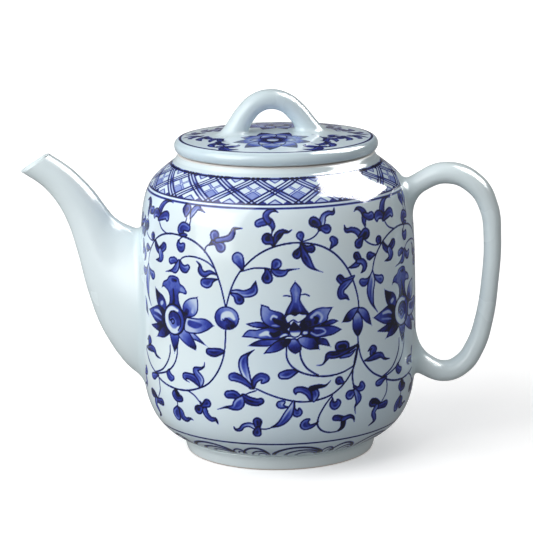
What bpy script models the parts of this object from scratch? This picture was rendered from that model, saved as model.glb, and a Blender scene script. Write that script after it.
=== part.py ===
"""A porcelain teapot: a straight-sided pot with a gallery, foot, spout and strap handle, and a loose lid.

Everything is in metres, with +Z up. The pot stands on Z = 0, its spout towards -X and its handle
towards +X. The turned pieces are made about the pot's own axis, which stands at X = POT_AXIS_X, so that
the origin is the middle of the base of the teapot's bounding box. The clay pieces are luted together,
with a joint of JOINT_GAP between them.
"""

import math

import bmesh
import bpy
from mathutils import Matrix, Vector

# Turned pieces, as (radius, height) about the pot's axis
BODY_RADIUS = 0.0575
BELLY_HEIGHT = 0.053
BASE_RADIUS = 0.041
BASE_HEIGHT = 0.0063
MOUTH_RADIUS = 0.038
SHOULDER_TOP_RADIUS = 0.043
SHOULDER_HEIGHT = 0.1223
BASE_CURVE = ((BASE_RADIUS, BASE_HEIGHT), (0.059, 0.014), (BODY_RADIUS, 0.033), (BODY_RADIUS, BELLY_HEIGHT))
SHOULDER_CURVE = (
    (BODY_RADIUS, BELLY_HEIGHT),
    (BODY_RADIUS, 0.1147),
    (0.056, 0.112),
    (SHOULDER_TOP_RADIUS, SHOULDER_HEIGHT),
)
WALL = 0.0035
JOINT_GAP = 0.0003
FOOT_TOP_RADIUS = 0.0408
FOOT_BOTTOM_RADIUS = 0.0395
FOOT_WIDTH = 0.0045
FOOT_INNER_FLARE = 0.001
FOOT_EDGE_HEIGHT = 0.001
FOOT_EDGE_WIDTH = 0.0006
NECK_TOP = 0.1259
NECK_FLARE = ((0.0398, 0), (0.0405, 0.0006), (0.0414, 0.0019))  # (radius, depth below the neck's top)
NECK_EDGE = 0.0004
LID_BOTTOM = NECK_TOP + JOINT_GAP
LID_EDGE_RADIUS = 0.0403
LID_EDGE_HEIGHT = 0.1317
LID_CROWN = 0.1342
LID_RIM = (  # (radius, height above the lid's bottom), running down
    (0.0415, 0.0047),
    (0.0422, 0.0036),
    (0.0423, 0.0026),
    (0.0417, 0.0010),
    (0.0402, 0),
)
LID_HOLLOW_RADIUS = 0.0315
LID_HOLLOW_DEPTH = 0.0022
LID_HOLLOW_RISE = 0.0016
COLLAR_RADIUS = 0.0366
COLLAR_WIDTH = 0.003
COLLAR_BOTTOM = 0.117
COLLAR_EDGE = 0.0008

# Spout: at each station from root to mouth, its lower and upper edges as (reach, height), and its half width
SPOUT_STATIONS = (
    ((0.0500, 0.0230), (0.0500, 0.0900), 0.0180),
    ((0.0575, 0.0293), (0.0573, 0.0916), 0.0165),
    ((0.0655, 0.0360), (0.0610, 0.0938), 0.0143),
    ((0.0752, 0.0515), (0.0646, 0.0956), 0.0120),
    ((0.0807, 0.0690), (0.0676, 0.0980), 0.0101),
    ((0.0836, 0.0820), (0.0702, 0.1021), 0.0086),
    ((0.0869, 0.0944), (0.0744, 0.1067), 0.0074),
    ((0.0914, 0.1038), (0.0801, 0.1113), 0.0066),
    ((0.0971, 0.1109), (0.0870, 0.1174), 0.0060),
    ((0.1073, 0.1177), (0.0953, 0.1252), 0.0058),
)
SPOUT_WALL = 0.0022
SPOUT_RINGS_PER_STATION = 2
STRAINER_CENTRE_HEIGHT = 0.058
STRAINER_HOLE_RADIUS = 0.0025
STRAINER_PITCH = 0.0080
STRAINER_ROWS = (2, 3, 2, 3, 2)
PIN_LENGTH = 0.02

# Strap handle and lid loop: points of the centre line as (reach, height), and the strap's swelling at each
HANDLE_POINTS = (
    ((0.0480, 0.1010), 1.45),
    ((0.0590, 0.1105), 1.25),
    ((0.0707, 0.1163), 1.15),
    ((0.0835, 0.1107), 1.10),
    ((0.0888, 0.0945), 0.92),
    ((0.0880, 0.0690), 0.92),
    ((0.0853, 0.0510), 0.97),
    ((0.0797, 0.0366), 1.00),
    ((0.0700, 0.0321), 1.05),
    ((0.0612, 0.0350), 1.10),
    ((0.0490, 0.0450), 1.30),
)
HANDLE_THICKNESS = 0.0078
HANDLE_WIDTH = 0.0115
LOOP_POINTS = (
    ((-0.0205, 0.1290), 1.25),
    ((-0.0168, 0.1352), 1.08),
    ((-0.0125, 0.1424), 1.00),
    ((-0.0022, 0.1475), 1.00),
    ((0.0086, 0.1418), 1.00),
    ((0.0133, 0.1355), 1.10),
    ((0.0180, 0.1290), 1.30),
)
LOOP_THICKNESS = 0.0082
LOOP_WIDTH = 0.0105
LID_TURN = math.radians(12)

HANDLE_REACH = 0.0929
SPOUT_REACH = SPOUT_STATIONS[-1][0][0]
POT_AXIS_X = (SPOUT_REACH - HANDLE_REACH) / 2

TURN_STEPS = 48
CURVE_POINTS = 7
SPOUT_SIDES = 24
STRAP_SIDES = 14
STRAP_SQUARENESS = 2.3
STRAP_RESOLUTION = 3
PIN_SIDES = 10
DOME_RINGS = 6
SHARP_ANGLE = math.radians(40)
MERGE = 0.00001

GLAZE = (0.80, 0.86, 0.86)
PAINTED_GLAZE = (0.55, 0.62, 0.80)
GLAZE_ROUGHNESS = 0.08


def collection(name):
    made = bpy.data.collections.new(name)
    bpy.context.scene.collection.children.link(made)
    return made


def glaze(name, colour):
    """A glossy, non-metallic material."""
    material = bpy.data.materials.new(name)
    material.use_nodes = True
    shader = material.node_tree.nodes["Principled BSDF"]
    shader.inputs["Base Color"].default_value = (*colour, 1)
    shader.inputs["Roughness"].default_value = GLAZE_ROUGHNESS
    shader.inputs["Metallic"].default_value = 0
    return material


def place(name, mesh, group, parent, material=None):
    """A new object in a collection, under an empty on the pot's axis."""
    obj = bpy.data.objects.new(name, mesh)
    group.objects.link(obj)
    obj.parent = parent
    if material:
        mesh.materials.append(material)
        mesh.shade_smooth()
        mesh.set_sharp_from_angle(angle=SHARP_ANGLE)
    return obj


def axis_empty(name, location, group, parent=None):
    empty = bpy.data.objects.new(name, None)
    empty.location = location
    empty.parent = parent
    group.objects.link(empty)
    return empty


def hide(cutter):
    cutter.hide_render = True
    cutter.display_type = "WIRE"


def cut(target, cutter):
    modifier = target.modifiers.new("cut_" + cutter.name, "BOOLEAN")
    modifier.operation = "DIFFERENCE"
    modifier.solver = "EXACT"
    modifier.object = cutter


def bezier(controls, count=CURVE_POINTS):
    """Points evenly spaced in parameter along a cubic Bezier curve."""
    p0, p1, p2, p3 = (Vector(p) for p in controls)
    points = []
    for i in range(count + 1):
        t = i / count
        s = 1 - t
        points.append(p0 * s**3 + p1 * (3 * s * s * t) + p2 * (3 * s * t * t) + p3 * t**3)
    return points


def offset(points, distance):
    """An outline running upwards, moved outwards by the distance."""
    moved = []
    for i, point in enumerate(points):
        along = (points[min(i + 1, len(points) - 1)] - points[max(i - 1, 0)]).normalized()
        moved.append(point + Vector((along.y, -along.x)) * distance)
    return moved


def body_outline():
    """The pot's outer surface, from the foot up to the mouth."""
    return bezier(BASE_CURVE) + bezier(SHOULDER_CURVE)[1:]


def turned(name, outline, group, parent, material=None, closed=True):
    """A piece turned about the pot's axis from an outline that runs down its outer side."""
    mesh = bpy.data.meshes.new(name)
    count = len(outline)
    edges = [(i, (i + 1) % count) for i in range(count if closed else count - 1)]
    mesh.from_pydata([(r, 0, z) for r, z in outline], edges, [])
    obj = place(name, mesh, group, parent)
    screw = obj.modifiers.new("turn", "SCREW")
    screw.axis = "Z"
    screw.steps = TURN_STEPS
    screw.render_steps = TURN_STEPS
    screw.use_merge_vertices = True
    screw.merge_threshold = MERGE
    screw.use_smooth_shade = True
    if material:
        mesh.materials.append(material)
    return obj


def superellipse(thickness, width):
    """The section of a strap with soft edges."""
    points = []
    for i in range(STRAP_SIDES):
        angle = math.tau * (i + 0.5) / STRAP_SIDES
        power = 2 / STRAP_SQUARENESS
        x = math.copysign(abs(math.cos(angle)) ** power, math.cos(angle))
        y = math.copysign(abs(math.sin(angle)) ** power, math.sin(angle))
        points.append((width / 2 * x, thickness / 2 * y, 0, 1))
    return points


def strap(name, points, thickness, width, group, helpers, parent, material):
    """A soft-edged strap bent along a centre line in the plane of the spout and handle."""
    section = bpy.data.curves.new(name + "_section", "CURVE")
    rim = section.splines.new("POLY")
    rim.points.add(STRAP_SIDES - 1)
    rim.points.foreach_set("co", [c for p in superellipse(thickness, width) for c in p])
    rim.use_cyclic_u = True
    section_obj = place(name + "_section", section, helpers, None)
    hide(section_obj)

    line = bpy.data.curves.new(name + "_line", "CURVE")
    line.dimensions = "3D"
    line.resolution_u = STRAP_RESOLUTION
    line.bevel_mode = "OBJECT"
    line.bevel_object = section_obj
    line.use_fill_caps = True
    spline = line.splines.new("BEZIER")
    spline.bezier_points.add(len(points) - 1)
    for knot, ((reach, height), swelling) in zip(spline.bezier_points, points):
        knot.co = (reach, 0, height)
        knot.handle_left_type = "AUTO"
        knot.handle_right_type = "AUTO"
        knot.radius = swelling
    line_obj = place(name + "_line", line, helpers, None)
    bpy.context.view_layer.update()

    evaluated = line_obj.evaluated_get(bpy.context.evaluated_depsgraph_get())
    mesh = bpy.data.meshes.new_from_object(evaluated)
    bm = bmesh.new()
    bm.from_mesh(mesh)
    bmesh.ops.remove_doubles(bm, verts=bm.verts, dist=MERGE)
    bmesh.ops.recalc_face_normals(bm, faces=bm.faces)
    bm.to_mesh(mesh)
    bm.free()
    bpy.data.objects.remove(line_obj)
    return place(name, mesh, group, parent, material)


def smooth_between(rows, steps):
    """Rows of numbers with extra rows between them, on Catmull-Rom curves."""
    dense = []
    for i in range(len(rows) - 1):
        before, here = rows[max(i - 1, 0)], rows[i]
        after, beyond = rows[i + 1], rows[min(i + 2, len(rows) - 1)]
        for k in range(steps):
            t = k / steps
            dense.append([
                b + 0.5 * t * (c - a + t * (2 * a - 5 * b + 4 * c - d + t * (3 * (b - c) + d - a)))
                for a, b, c, d in zip(before, here, after, beyond)
            ])
    return dense + [list(rows[-1])]


def spout_section(low_x, low_z, high_x, high_z, half_width, inset):
    """An elliptical ring of points from the spout's lower edge to its upper edge, moved in by the inset."""
    low, high = Vector((-low_x, 0, low_z)), Vector((-high_x, 0, high_z))
    centre = (low + high) / 2
    rise = (high - low) / 2
    rise *= 1 - inset / rise.length
    side = Vector((0, half_width - inset, 0))
    ring = []
    for i in range(SPOUT_SIDES):
        angle = math.tau * i / SPOUT_SIDES
        ring.append(centre + rise * math.cos(angle) + side * math.sin(angle))
    return ring


def spout_tube(name, group, parent, material):
    """A hollow spout, open at the root and the mouth, lofted between elliptical rings."""
    stations = [(*low, *high, width) for low, high, width in SPOUT_STATIONS]
    rows = smooth_between(stations, SPOUT_RINGS_PER_STATION)
    rings = [spout_section(*row, 0) for row in rows]
    rings += [spout_section(*row, SPOUT_WALL) for row in reversed(rows)]
    bm = bmesh.new()
    loops = [[bm.verts.new(point) for point in ring] for ring in rings]
    for first, second in zip(loops, loops[1:] + loops[:1]):
        for i in range(SPOUT_SIDES):
            j = (i + 1) % SPOUT_SIDES
            bm.faces.new((first[i], first[j], second[j], second[i]))
    bmesh.ops.recalc_face_normals(bm, faces=bm.faces)
    mesh = bpy.data.meshes.new(name)
    bm.to_mesh(mesh)
    bm.free()
    return place(name, mesh, group, parent, material)


def strainer_pins(name, helpers, parent):
    """Cutters for the holes pierced through the wall inside the spout's root, in offset rows."""
    bm = bmesh.new()
    for row, holes in enumerate(STRAINER_ROWS):
        height = STRAINER_CENTRE_HEIGHT + (row - (len(STRAINER_ROWS) - 1) / 2) * STRAINER_PITCH
        for k in range(holes):
            across = (k - (holes - 1) / 2) * STRAINER_PITCH
            made = bmesh.ops.create_cone(
                bm,
                cap_ends=True,
                segments=PIN_SIDES,
                radius1=STRAINER_HOLE_RADIUS,
                radius2=STRAINER_HOLE_RADIUS,
                depth=PIN_LENGTH,
            )
            bmesh.ops.rotate(bm, verts=made["verts"], matrix=Matrix.Rotation(math.pi / 2, 3, "Y"))
            bmesh.ops.translate(bm, verts=made["verts"], vec=(-BODY_RADIUS, across, height))
    mesh = bpy.data.meshes.new(name)
    bm.to_mesh(mesh)
    bm.free()
    pins = place(name, mesh, helpers, parent)
    hide(pins)
    return pins


def pot_wall(group, helpers, parent, material):
    """The thrown pot: floor, side and shoulder, with the strainer pierced behind the spout."""
    outer = body_outline()
    inner = [p for p in offset(outer, -WALL) if p.y < SHOULDER_HEIGHT - WALL]
    floor = (0, inner[0].y)
    lip = [(MOUTH_RADIUS, SHOULDER_HEIGHT - WALL / 2), (MOUTH_RADIUS, SHOULDER_HEIGHT)]
    outline = [floor, *inner, *lip, *reversed(outer), (0, BASE_HEIGHT)]
    wall = turned("pot_wall", outline, group, parent, material, closed=False)
    cut(wall, strainer_pins("strainer_pins", helpers, parent))
    return wall


def neck_ring(group, parent, material):
    """The low gallery round the mouth that the lid sits on."""
    bottom = SHOULDER_HEIGHT + JOINT_GAP
    outline = [
        (MOUTH_RADIUS + NECK_EDGE, NECK_TOP),
        *((radius, NECK_TOP - depth) for radius, depth in NECK_FLARE),
        (SHOULDER_TOP_RADIUS - JOINT_GAP, bottom),
        (MOUTH_RADIUS, bottom),
        (MOUTH_RADIUS, NECK_TOP - NECK_EDGE),
    ]
    return turned("neck_ring", outline, group, parent, material)


def foot_ring(group, parent, material):
    """The ring that the pot stands on, with its edge rounded above the flat rest face."""
    top = BASE_HEIGHT - JOINT_GAP
    inner = FOOT_BOTTOM_RADIUS - FOOT_WIDTH
    outline = [
        (inner - FOOT_INNER_FLARE, top),
        (FOOT_TOP_RADIUS, top),
        (FOOT_BOTTOM_RADIUS, FOOT_EDGE_HEIGHT),
        (FOOT_BOTTOM_RADIUS - FOOT_EDGE_WIDTH, 0),
        (inner + FOOT_EDGE_WIDTH, 0),
        (inner, FOOT_EDGE_HEIGHT),
    ]
    return turned("foot_ring", outline, group, parent, material)


def lid_dome():
    """The lid's upper face, from its rim to its middle."""
    dome = []
    for i in range(DOME_RINGS + 1):
        share = 1 - i / DOME_RINGS
        height = LID_EDGE_HEIGHT + (LID_CROWN - LID_EDGE_HEIGHT) * (1 - share * share)
        dome.append((LID_EDGE_RADIUS * share, height))
    return dome


def lid_plate(group, parent, material):
    """The lid's disc, domed above and hollowed beneath."""
    hollow = LID_BOTTOM + LID_HOLLOW_DEPTH
    rim = [(radius, LID_BOTTOM + height) for radius, height in LID_RIM]
    under = [
        (COLLAR_RADIUS - COLLAR_WIDTH - JOINT_GAP, LID_BOTTOM),
        (LID_HOLLOW_RADIUS, hollow),
        (0, hollow + LID_HOLLOW_RISE),
    ]
    outline = [*reversed(lid_dome()), *rim, *under]
    return turned("lid_plate", outline, group, parent, material, closed=False)


def lid_collar(group, parent, material):
    """The ring under the lid that keeps it in the mouth."""
    top = LID_BOTTOM - JOINT_GAP
    outline = [
        (COLLAR_RADIUS - COLLAR_WIDTH, top),
        (COLLAR_RADIUS, top),
        (COLLAR_RADIUS, COLLAR_BOTTOM + COLLAR_EDGE),
        (COLLAR_RADIUS - COLLAR_EDGE, COLLAR_BOTTOM),
        (COLLAR_RADIUS - COLLAR_WIDTH, COLLAR_BOTTOM),
    ]
    return turned("lid_collar", outline, group, parent, material)


def body_cutter(helpers, parent):
    """The solid pot with a joint's clearance round it."""
    skin = offset(body_outline(), JOINT_GAP)
    outline = [(0, skin[-1].y), *reversed(skin), (0, skin[0].y)]
    cutter = turned("body_cutter", outline, helpers, parent, closed=False)
    hide(cutter)
    return cutter


def lid_cutter(helpers, parent):
    """The solid lid with a joint's clearance above it."""
    dome = [(r, z + JOINT_GAP) for r, z in reversed(lid_dome())]
    outline = [*dome, (LID_EDGE_RADIUS, COLLAR_BOTTOM), (0, COLLAR_BOTTOM)]
    cutter = turned("lid_cutter", outline, helpers, parent, closed=False)
    hide(cutter)
    return cutter


def build():
    for obj in list(bpy.data.objects):
        bpy.data.objects.remove(obj)
    parts = collection("porcelain_teapot")
    helpers = collection("cutters")
    plain = glaze("plain_glaze", GLAZE)
    painted = glaze("painted_glaze", PAINTED_GLAZE)
    pot_axis = axis_empty("pot_axis", (POT_AXIS_X, 0, 0), parts)
    lid_axis = axis_empty("lid_axis", (0, 0, 0), parts, pot_axis)
    lid_axis.rotation_euler.z = LID_TURN

    pot_wall(parts, helpers, pot_axis, painted)
    neck_ring(parts, pot_axis, plain)
    foot_ring(parts, pot_axis, plain)
    body = body_cutter(helpers, pot_axis)
    cut(spout_tube("spout", parts, pot_axis, plain), body)
    handle = strap("handle", HANDLE_POINTS, HANDLE_THICKNESS, HANDLE_WIDTH, parts, helpers, pot_axis, plain)
    cut(handle, body)

    lid_plate(parts, lid_axis, painted)
    lid_collar(parts, lid_axis, plain)
    loop = strap("lid_loop", LOOP_POINTS, LOOP_THICKNESS, LOOP_WIDTH, parts, helpers, lid_axis, plain)
    cut(loop, lid_cutter(helpers, lid_axis))


build()
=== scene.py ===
"""The looks of a blue-and-white porcelain teapot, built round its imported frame.

Lengths are in metres, apart from the painting, which is laid out in millimetres on the pot's unrolled side:
u runs round it from the front, towards the handle, at the belly's radius, and v runs up its outline from the
foot. The lid's painting is laid out as seen from above. Pigment runs from 0, bare glaze, to 1, the darkest
cobalt.
"""

import math
from functools import partial

import bmesh
import bpy
import numpy as np
from mathutils import Matrix, Vector


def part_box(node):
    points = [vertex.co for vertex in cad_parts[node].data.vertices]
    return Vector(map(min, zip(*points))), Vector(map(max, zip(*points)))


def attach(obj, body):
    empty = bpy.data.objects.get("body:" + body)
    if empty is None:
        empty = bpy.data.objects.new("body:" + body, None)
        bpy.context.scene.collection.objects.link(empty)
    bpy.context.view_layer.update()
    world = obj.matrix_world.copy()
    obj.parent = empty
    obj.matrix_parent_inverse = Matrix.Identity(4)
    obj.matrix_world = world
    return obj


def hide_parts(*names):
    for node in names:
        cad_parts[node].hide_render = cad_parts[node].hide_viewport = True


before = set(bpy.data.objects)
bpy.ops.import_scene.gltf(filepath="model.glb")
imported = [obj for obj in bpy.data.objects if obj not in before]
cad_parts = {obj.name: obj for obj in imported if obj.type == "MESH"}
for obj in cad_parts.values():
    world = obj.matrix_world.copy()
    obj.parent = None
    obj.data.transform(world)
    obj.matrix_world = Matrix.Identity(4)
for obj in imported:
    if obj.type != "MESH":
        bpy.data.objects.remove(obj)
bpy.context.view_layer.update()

# ---- Painting: the sheet and its strokes

SHEET_STEP = 0.125
NAVY = 0.97
OUTLINE, OUTLINE_BLUR = 0.54, 0.22
RIM_DEPTH, RIM_WIDTH = 1.0, 0.42
BRUSH_MARGIN = 0.5
FAR = 9.0


def through(knots, steps=10):
    """Rows of numbers on a smooth curve through the knots. A doubled knot is a corner."""
    rows = np.array([knots[0], *knots, knots[-1]], float)
    share = np.arange(steps)[:, None] / steps
    parts = []
    for a, b, c, d in zip(rows, rows[1:], rows[2:], rows[3:]):
        bend = 2 * a - 5 * b + 4 * c - d + share * (3 * (b - c) + d - a)
        parts.append(b + 0.5 * share * (c - a + share * bend))
    return np.vstack([*parts, rows[-1:]])


def oval(x, y, wide, high):
    """Twelve points round an oval."""
    return [(x + wide * math.cos(a), y + high * math.sin(a)) for a in np.linspace(0, math.tau, 13)[:-1]]


class Sheet:
    """Pigment on a flat sheet that joins up with itself from left to right."""

    def __init__(self, left, bottom, width, height):
        self.left = left
        self.bottom = bottom
        self.columns = round(width / SHEET_STEP)
        self.rows = round(height / SHEET_STEP)
        self.pigment = np.zeros((self.rows, self.columns), np.float32)

    def window(self, points, margin):
        """The part of the sheet round some points: its indices and its x and y."""
        low = points.min(axis=0) - margin
        high = points.max(axis=0) + margin
        c0, c1 = int((low[0] - self.left) / SHEET_STEP) - 1, int((high[0] - self.left) / SHEET_STEP) + 2
        r0 = max(int((low[1] - self.bottom) / SHEET_STEP), 0)
        r1 = min(int((high[1] - self.bottom) / SHEET_STEP) + 2, self.rows)
        x = self.left + (np.arange(c0, c1) + 0.5) * SHEET_STEP
        y = self.bottom + (np.arange(r0, max(r1, r0)) + 0.5) * SHEET_STEP
        index = np.ix_(np.arange(r0, max(r1, r0)), np.arange(c0, c1) % self.columns)
        return index, *np.meshgrid(x, y)

    def lay(self, index, cover, pigment):
        """Paint over what is there."""
        self.pigment[index] += cover * (pigment - self.pigment[index])

    def darken(self, index, pigment):
        """Paint that never covers a darker one."""
        self.pigment[index] = np.maximum(self.pigment[index], pigment)

    def at(self, x, y):
        """The pigment at points of the sheet, between its samples."""
        column = (x - self.left) / SHEET_STEP - 0.5
        row = np.clip((y - self.bottom) / SHEET_STEP - 0.5, 0, self.rows - 1.001)
        c0, r0 = np.floor(column).astype(int), np.floor(row).astype(int)
        fc, fr = column - c0, row - r0
        c1 = (c0 + 1) % self.columns
        c0 = c0 % self.columns
        p = self.pigment
        lower = p[r0, c0] * (1 - fc) + p[r0, c1] * fc
        return lower * (1 - fr) + (p[r0 + 1, c0] * (1 - fc) + p[r0 + 1, c1] * fc) * fr


def cover_of(distance):
    """How much of a sample lies inside an edge, from its distance outside it."""
    return np.clip(0.5 - distance / SHEET_STEP, 0, 1)


def from_segment(x, y, start, end):
    """How far points are from a straight piece of a stroke."""
    (ax, ay), (bx, by) = start, end
    dx, dy = bx - ax, by - ay
    t = np.clip(((x - ax) * dx + (y - ay) * dy) / max(dx * dx + dy * dy, 1e-9), 0, 1)
    return np.hypot(x - ax - t * dx, y - ay - t * dy)


def line(sheet, knots, width=0.62, ends=0.7):
    """A drawn line, a little thinner at its ends."""
    rows = through(knots, 16)
    share = np.linspace(0, 1, len(rows))
    half = width / 2 * (ends + (1 - ends) * np.sin(math.pi * share) ** 0.5)
    for start in range(0, len(rows) - 1, 12):
        part, radius = rows[start : start + 13], half[start : start + 13]
        index, x, y = sheet.window(part, width)
        nearest = np.full(x.shape, FAR)
        for a, b, r in zip(part, part[1:], radius):
            nearest = np.minimum(nearest, from_segment(x, y, a, b) - r)
        sheet.darken(index, cover_of(nearest) * NAVY)


def outlined(depth, wash):
    """A wash with the dark line round its edge."""
    edge = np.clip((OUTLINE - depth) / OUTLINE_BLUR, 0, 1)
    return wash + (NAVY - wash) * edge


def brushed(sheet, knots):
    """A brush drawn along knots of (x, y, half width).

    Returns its rows, the sheet under it and how far each sample is from each row's circle."""
    rows = through(knots)
    index, x, y = sheet.window(rows[:, :2], rows[:, 2].max() + BRUSH_MARGIN)
    distance = np.hypot(x - rows[:, 0, None, None], y - rows[:, 1, None, None]) - rows[:, 2, None, None]
    return rows, index, x, y, distance


def leaf(sheet, *knots, tone=(0.84, 0.64), pale=0.5):
    """A loaded brush: a wash from one tone to the other, a pale rim on one side and an outline.

    Where the leaf starts settles which side is pale, so that neighbours differ."""
    rows, index, x, y, distance = brushed(sheet, knots)
    nearest = distance.argmin(axis=0)
    depth = -distance.min(axis=0)
    along = np.gradient(rows[:, :2], axis=0)
    along /= np.hypot(*along.T)[:, None] + 1e-9
    across = (x - rows[nearest, 0]) * -along[nearest, 1] + (y - rows[nearest, 1]) * along[nearest, 0]
    lean = 1 if math.sin(3.1 * knots[0][0] + 1.7 * knots[0][1]) > 0 else -1
    side = np.clip(0.5 + 0.5 * lean * across / np.maximum(rows[nearest, 2], 0.4), 0, 1)
    wash = tone[0] + (tone[1] - tone[0]) * nearest / len(rows)
    wash = wash - pale * side * np.exp(-(((depth - RIM_DEPTH) / RIM_WIDTH) ** 2))
    sheet.lay(index, cover_of(-depth), outlined(depth, wash))


def bud(sheet, x, y, radius, root, **tones):
    """A round bud on a short neck."""
    neck = ((x + root[0]) / 2, (y + root[1]) / 2, radius * 0.55)
    leaf(sheet, (x, y, radius), neck, (*root, 0.3), **tones)


def shape(sheet, outline, dark, light, tone=(0.88, 0.35), reach=1.0):
    """A closed outline with a wash that fades from the dark point to the light one."""
    rows = through([*outline, outline[0]], 6)
    index, x, y = sheet.window(rows, 0.6)
    inside = np.zeros(x.shape, bool)
    nearest = np.full(x.shape, FAR)
    for start, end in zip(rows, rows[1:]):
        (ax, ay), (bx, by) = start, end
        if abs(by - ay) > 1e-9:
            inside ^= ((ay > y) != (by > y)) & (x < (bx - ax) * (y - ay) / (by - ay) + ax)
        nearest = np.minimum(nearest, from_segment(x, y, start, end))
    depth = np.where(inside, nearest, -nearest)
    fx, fy = light[0] - dark[0], light[1] - dark[1]
    fade = np.clip(((x - dark[0]) * fx + (y - dark[1]) * fy) / (fx * fx + fy * fy) * reach, 0, 1)
    fade = fade * fade * (3 - 2 * fade)
    sheet.lay(index, cover_of(-depth), outlined(depth, 0.92 * tone[0] * (1 - fade) + 0.74 * tone[1] * fade))


def dab(sheet, pigment, *knots):
    """A soft touch of a brush with no outline."""
    _, index, _, _, distance = brushed(sheet, knots)
    sheet.lay(index, np.clip(0.5 - distance.min(axis=0) / 0.5, 0, 1), pigment)


# ---- Painting: the lotus scroll

PANEL_LEFT, PANEL_PAIR = -72.0, 109.0
SPIRAL_HEART = (-43.6, 64.2)


def spiral_lotus(sheet, x0, y0):
    """A lotus whose heart is a spiral, under a finial shaped like a cloud. Its points are from its heart."""

    def put(*points):
        return [(x0 + x, y0 + y, *rest) for x, y, *rest in points]

    def petal(outline, dark, light, **tones):
        shape(sheet, put(*outline), *put(dark, light), **tones)

    def touch(pigment, *knots):
        dab(sheet, pigment, *put(*knots))

    petal([(-4, -3), (-2, -9.5), (0, -13.8), (0, -13.8), (2.6, -9), (2.4, -3)], (0, -12), (0, -3))
    petal([
        (2, -3), (6, -3), (11, -4), (17, -8.5), (17, -8.5), (12, -7), (7, -6),
    ], (16, -8), (8, -3.5), tone=(0.7, 0.2))
    petal([
        (0, -4), (5, -2.5), (9, -4.5), (12, -9), (11.7, -11), (11.7, -11), (7, -9.5), (3, -7),
    ], (12, -10), (3, -4))
    petal([
        (-3, -3), (-8, -3), (-13, -4), (-18, -5.5), (-18, -5.5), (-13, -6.6), (-7, -7),
    ], (-8, -5), (-22, -5), tone=(0.95, 0.6))
    petal([
        (-2, -5), (-5, -3), (-9, -5), (-12.5, -9.3), (-12.5, -9.3), (-7, -8.8), (-3, -6.5),
    ], (-4, -5), (-14, -9), tone=(0.95, 0.68))
    petal([
        (5, 2), (5.5, 7), (8.5, 9.8), (13, 11), (13, 11), (13.4, 8), (13, 5), (11.3, 3), (8, 2),
    ], (5, 3), (12, 10), tone=(0.75, 0.12))
    petal([
        (7, 2.2), (12, 2.2), (16, 2.6), (18.5, 1.8), (20.5, 0), (20.5, 0), (17, -2.5), (12, -4.2), (6, -3.6),
    ], (20, 0), (9, -1), tone=(0.68, 0.16))
    petal([
        (-5, 3), (-5, 6), (-7, 8.6), (-10.5, 9.8), (-13.2, 11), (-13.2, 11), (-12.6, 7), (-11, 4), (-8, 2),
    ], (-12, 9), (-6, 3), tone=(0.97, 0.8))
    petal([
        (-5, 1), (-7, 3.5), (-11, 4), (-15, 2.6), (-20, 0.5), (-20, 0.5), (-16, -2), (-12, -3.6), (-6, -3.5),
    ], (-6, 0), (-19, 0), tone=(0.97, 0.62))
    touch(0.15, (-8.4, 5.3, 0.9), (-7.6, 5.8, 0.8))
    touch(0.15, (-14.2, 1.3, 0.5), (-11, 1.5, 0.8), (-8.6, 0.4, 0.3))
    touch(0.3, (-15, -0.9, 0.3), (-11.6, -1.4, 0.5), (-9, -1.9, 0.3))
    touch(0.62, (9, -0.2, 1.3), (12, -0.6, 1.4), (14.5, -0.2, 0.6))
    touch(0.8, (7.6, 4.6, 1.1), (6.4, 2.4, 1.1))
    touch(0.2, (10.4, 4.6, 0.7), (11, 6.6, 0.5))
    finial = [
        (-3.6, 4.8), (-2.5, 8), (-3.4, 11), (-6.3, 12.6), (-8, 11.8), (-8, 11.8), (-6.8, 14.6), (-4.2, 15.9),
        (-2.6, 17.6), (0.4, 18.1), (3, 17.4), (3.9, 15.4), (6, 14.4), (7.6, 12.4), (7, 11.4), (4.6, 11.6),
        (3, 11), (3.2, 8), (4.4, 5.6), (6.4, 3), (7, 1), (0, 1),
    ]
    petal(finial, (0, 5), (0, 15), tone=(0.8, 0.62))
    touch(0.88, (0, 6, 0.9), (0.2, 9.5, 0.6), (-0.2, 12.4, 0.4))
    touch(0.52, (-4.6, 13.2, 0.9), (-2.4, 14.6, 0.9))
    touch(0.3, (4.8, 13, 1.0), (5.8, 12.7, 0.7))
    touch(0.78, (-0.6, 16.2, 0.7), (1.6, 16.3, 0.6))
    petal(oval(0, 0, 6.2, 6.2), (5, 2), (-5, -1), tone=(0.62, 0.35))
    touch(0.02, (-1.2, -5, 1.1), (-4.3, -2.4, 1.1), (-4.5, 1.6, 1.1), (-1.4, 4.3, 1.0), (2.2, 4.0, 0.6))
    touch(0.04, (-1.2, -5, 1.1), (1.4, -4.5, 1.0), (3, -2.6, 0.7))
    touch(0.7, (-2.2, 1.2, 1.0), (0, 2.3, 1.3), (2.6, 0.6, 1.4), (2.4, -1.6, 0.8))
    line(
        sheet,
        put(
            (-1.8, -0.9), (-0.9, -1.9), (0.2, -1), (-0.6, 0.1), (-2.6, -0.6), (-3.1, 1.2), (-1.6, 3),
            (1.2, 3.2), (3.6, 1.4), (3.9, -1.6), (2.4, -4.2),
        ),
        0.7,
    )
    ring = oval(x0, y0, 6.3, 6.3)
    line(sheet, [*ring, ring[0]], 0.6, ends=1.0)


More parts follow.
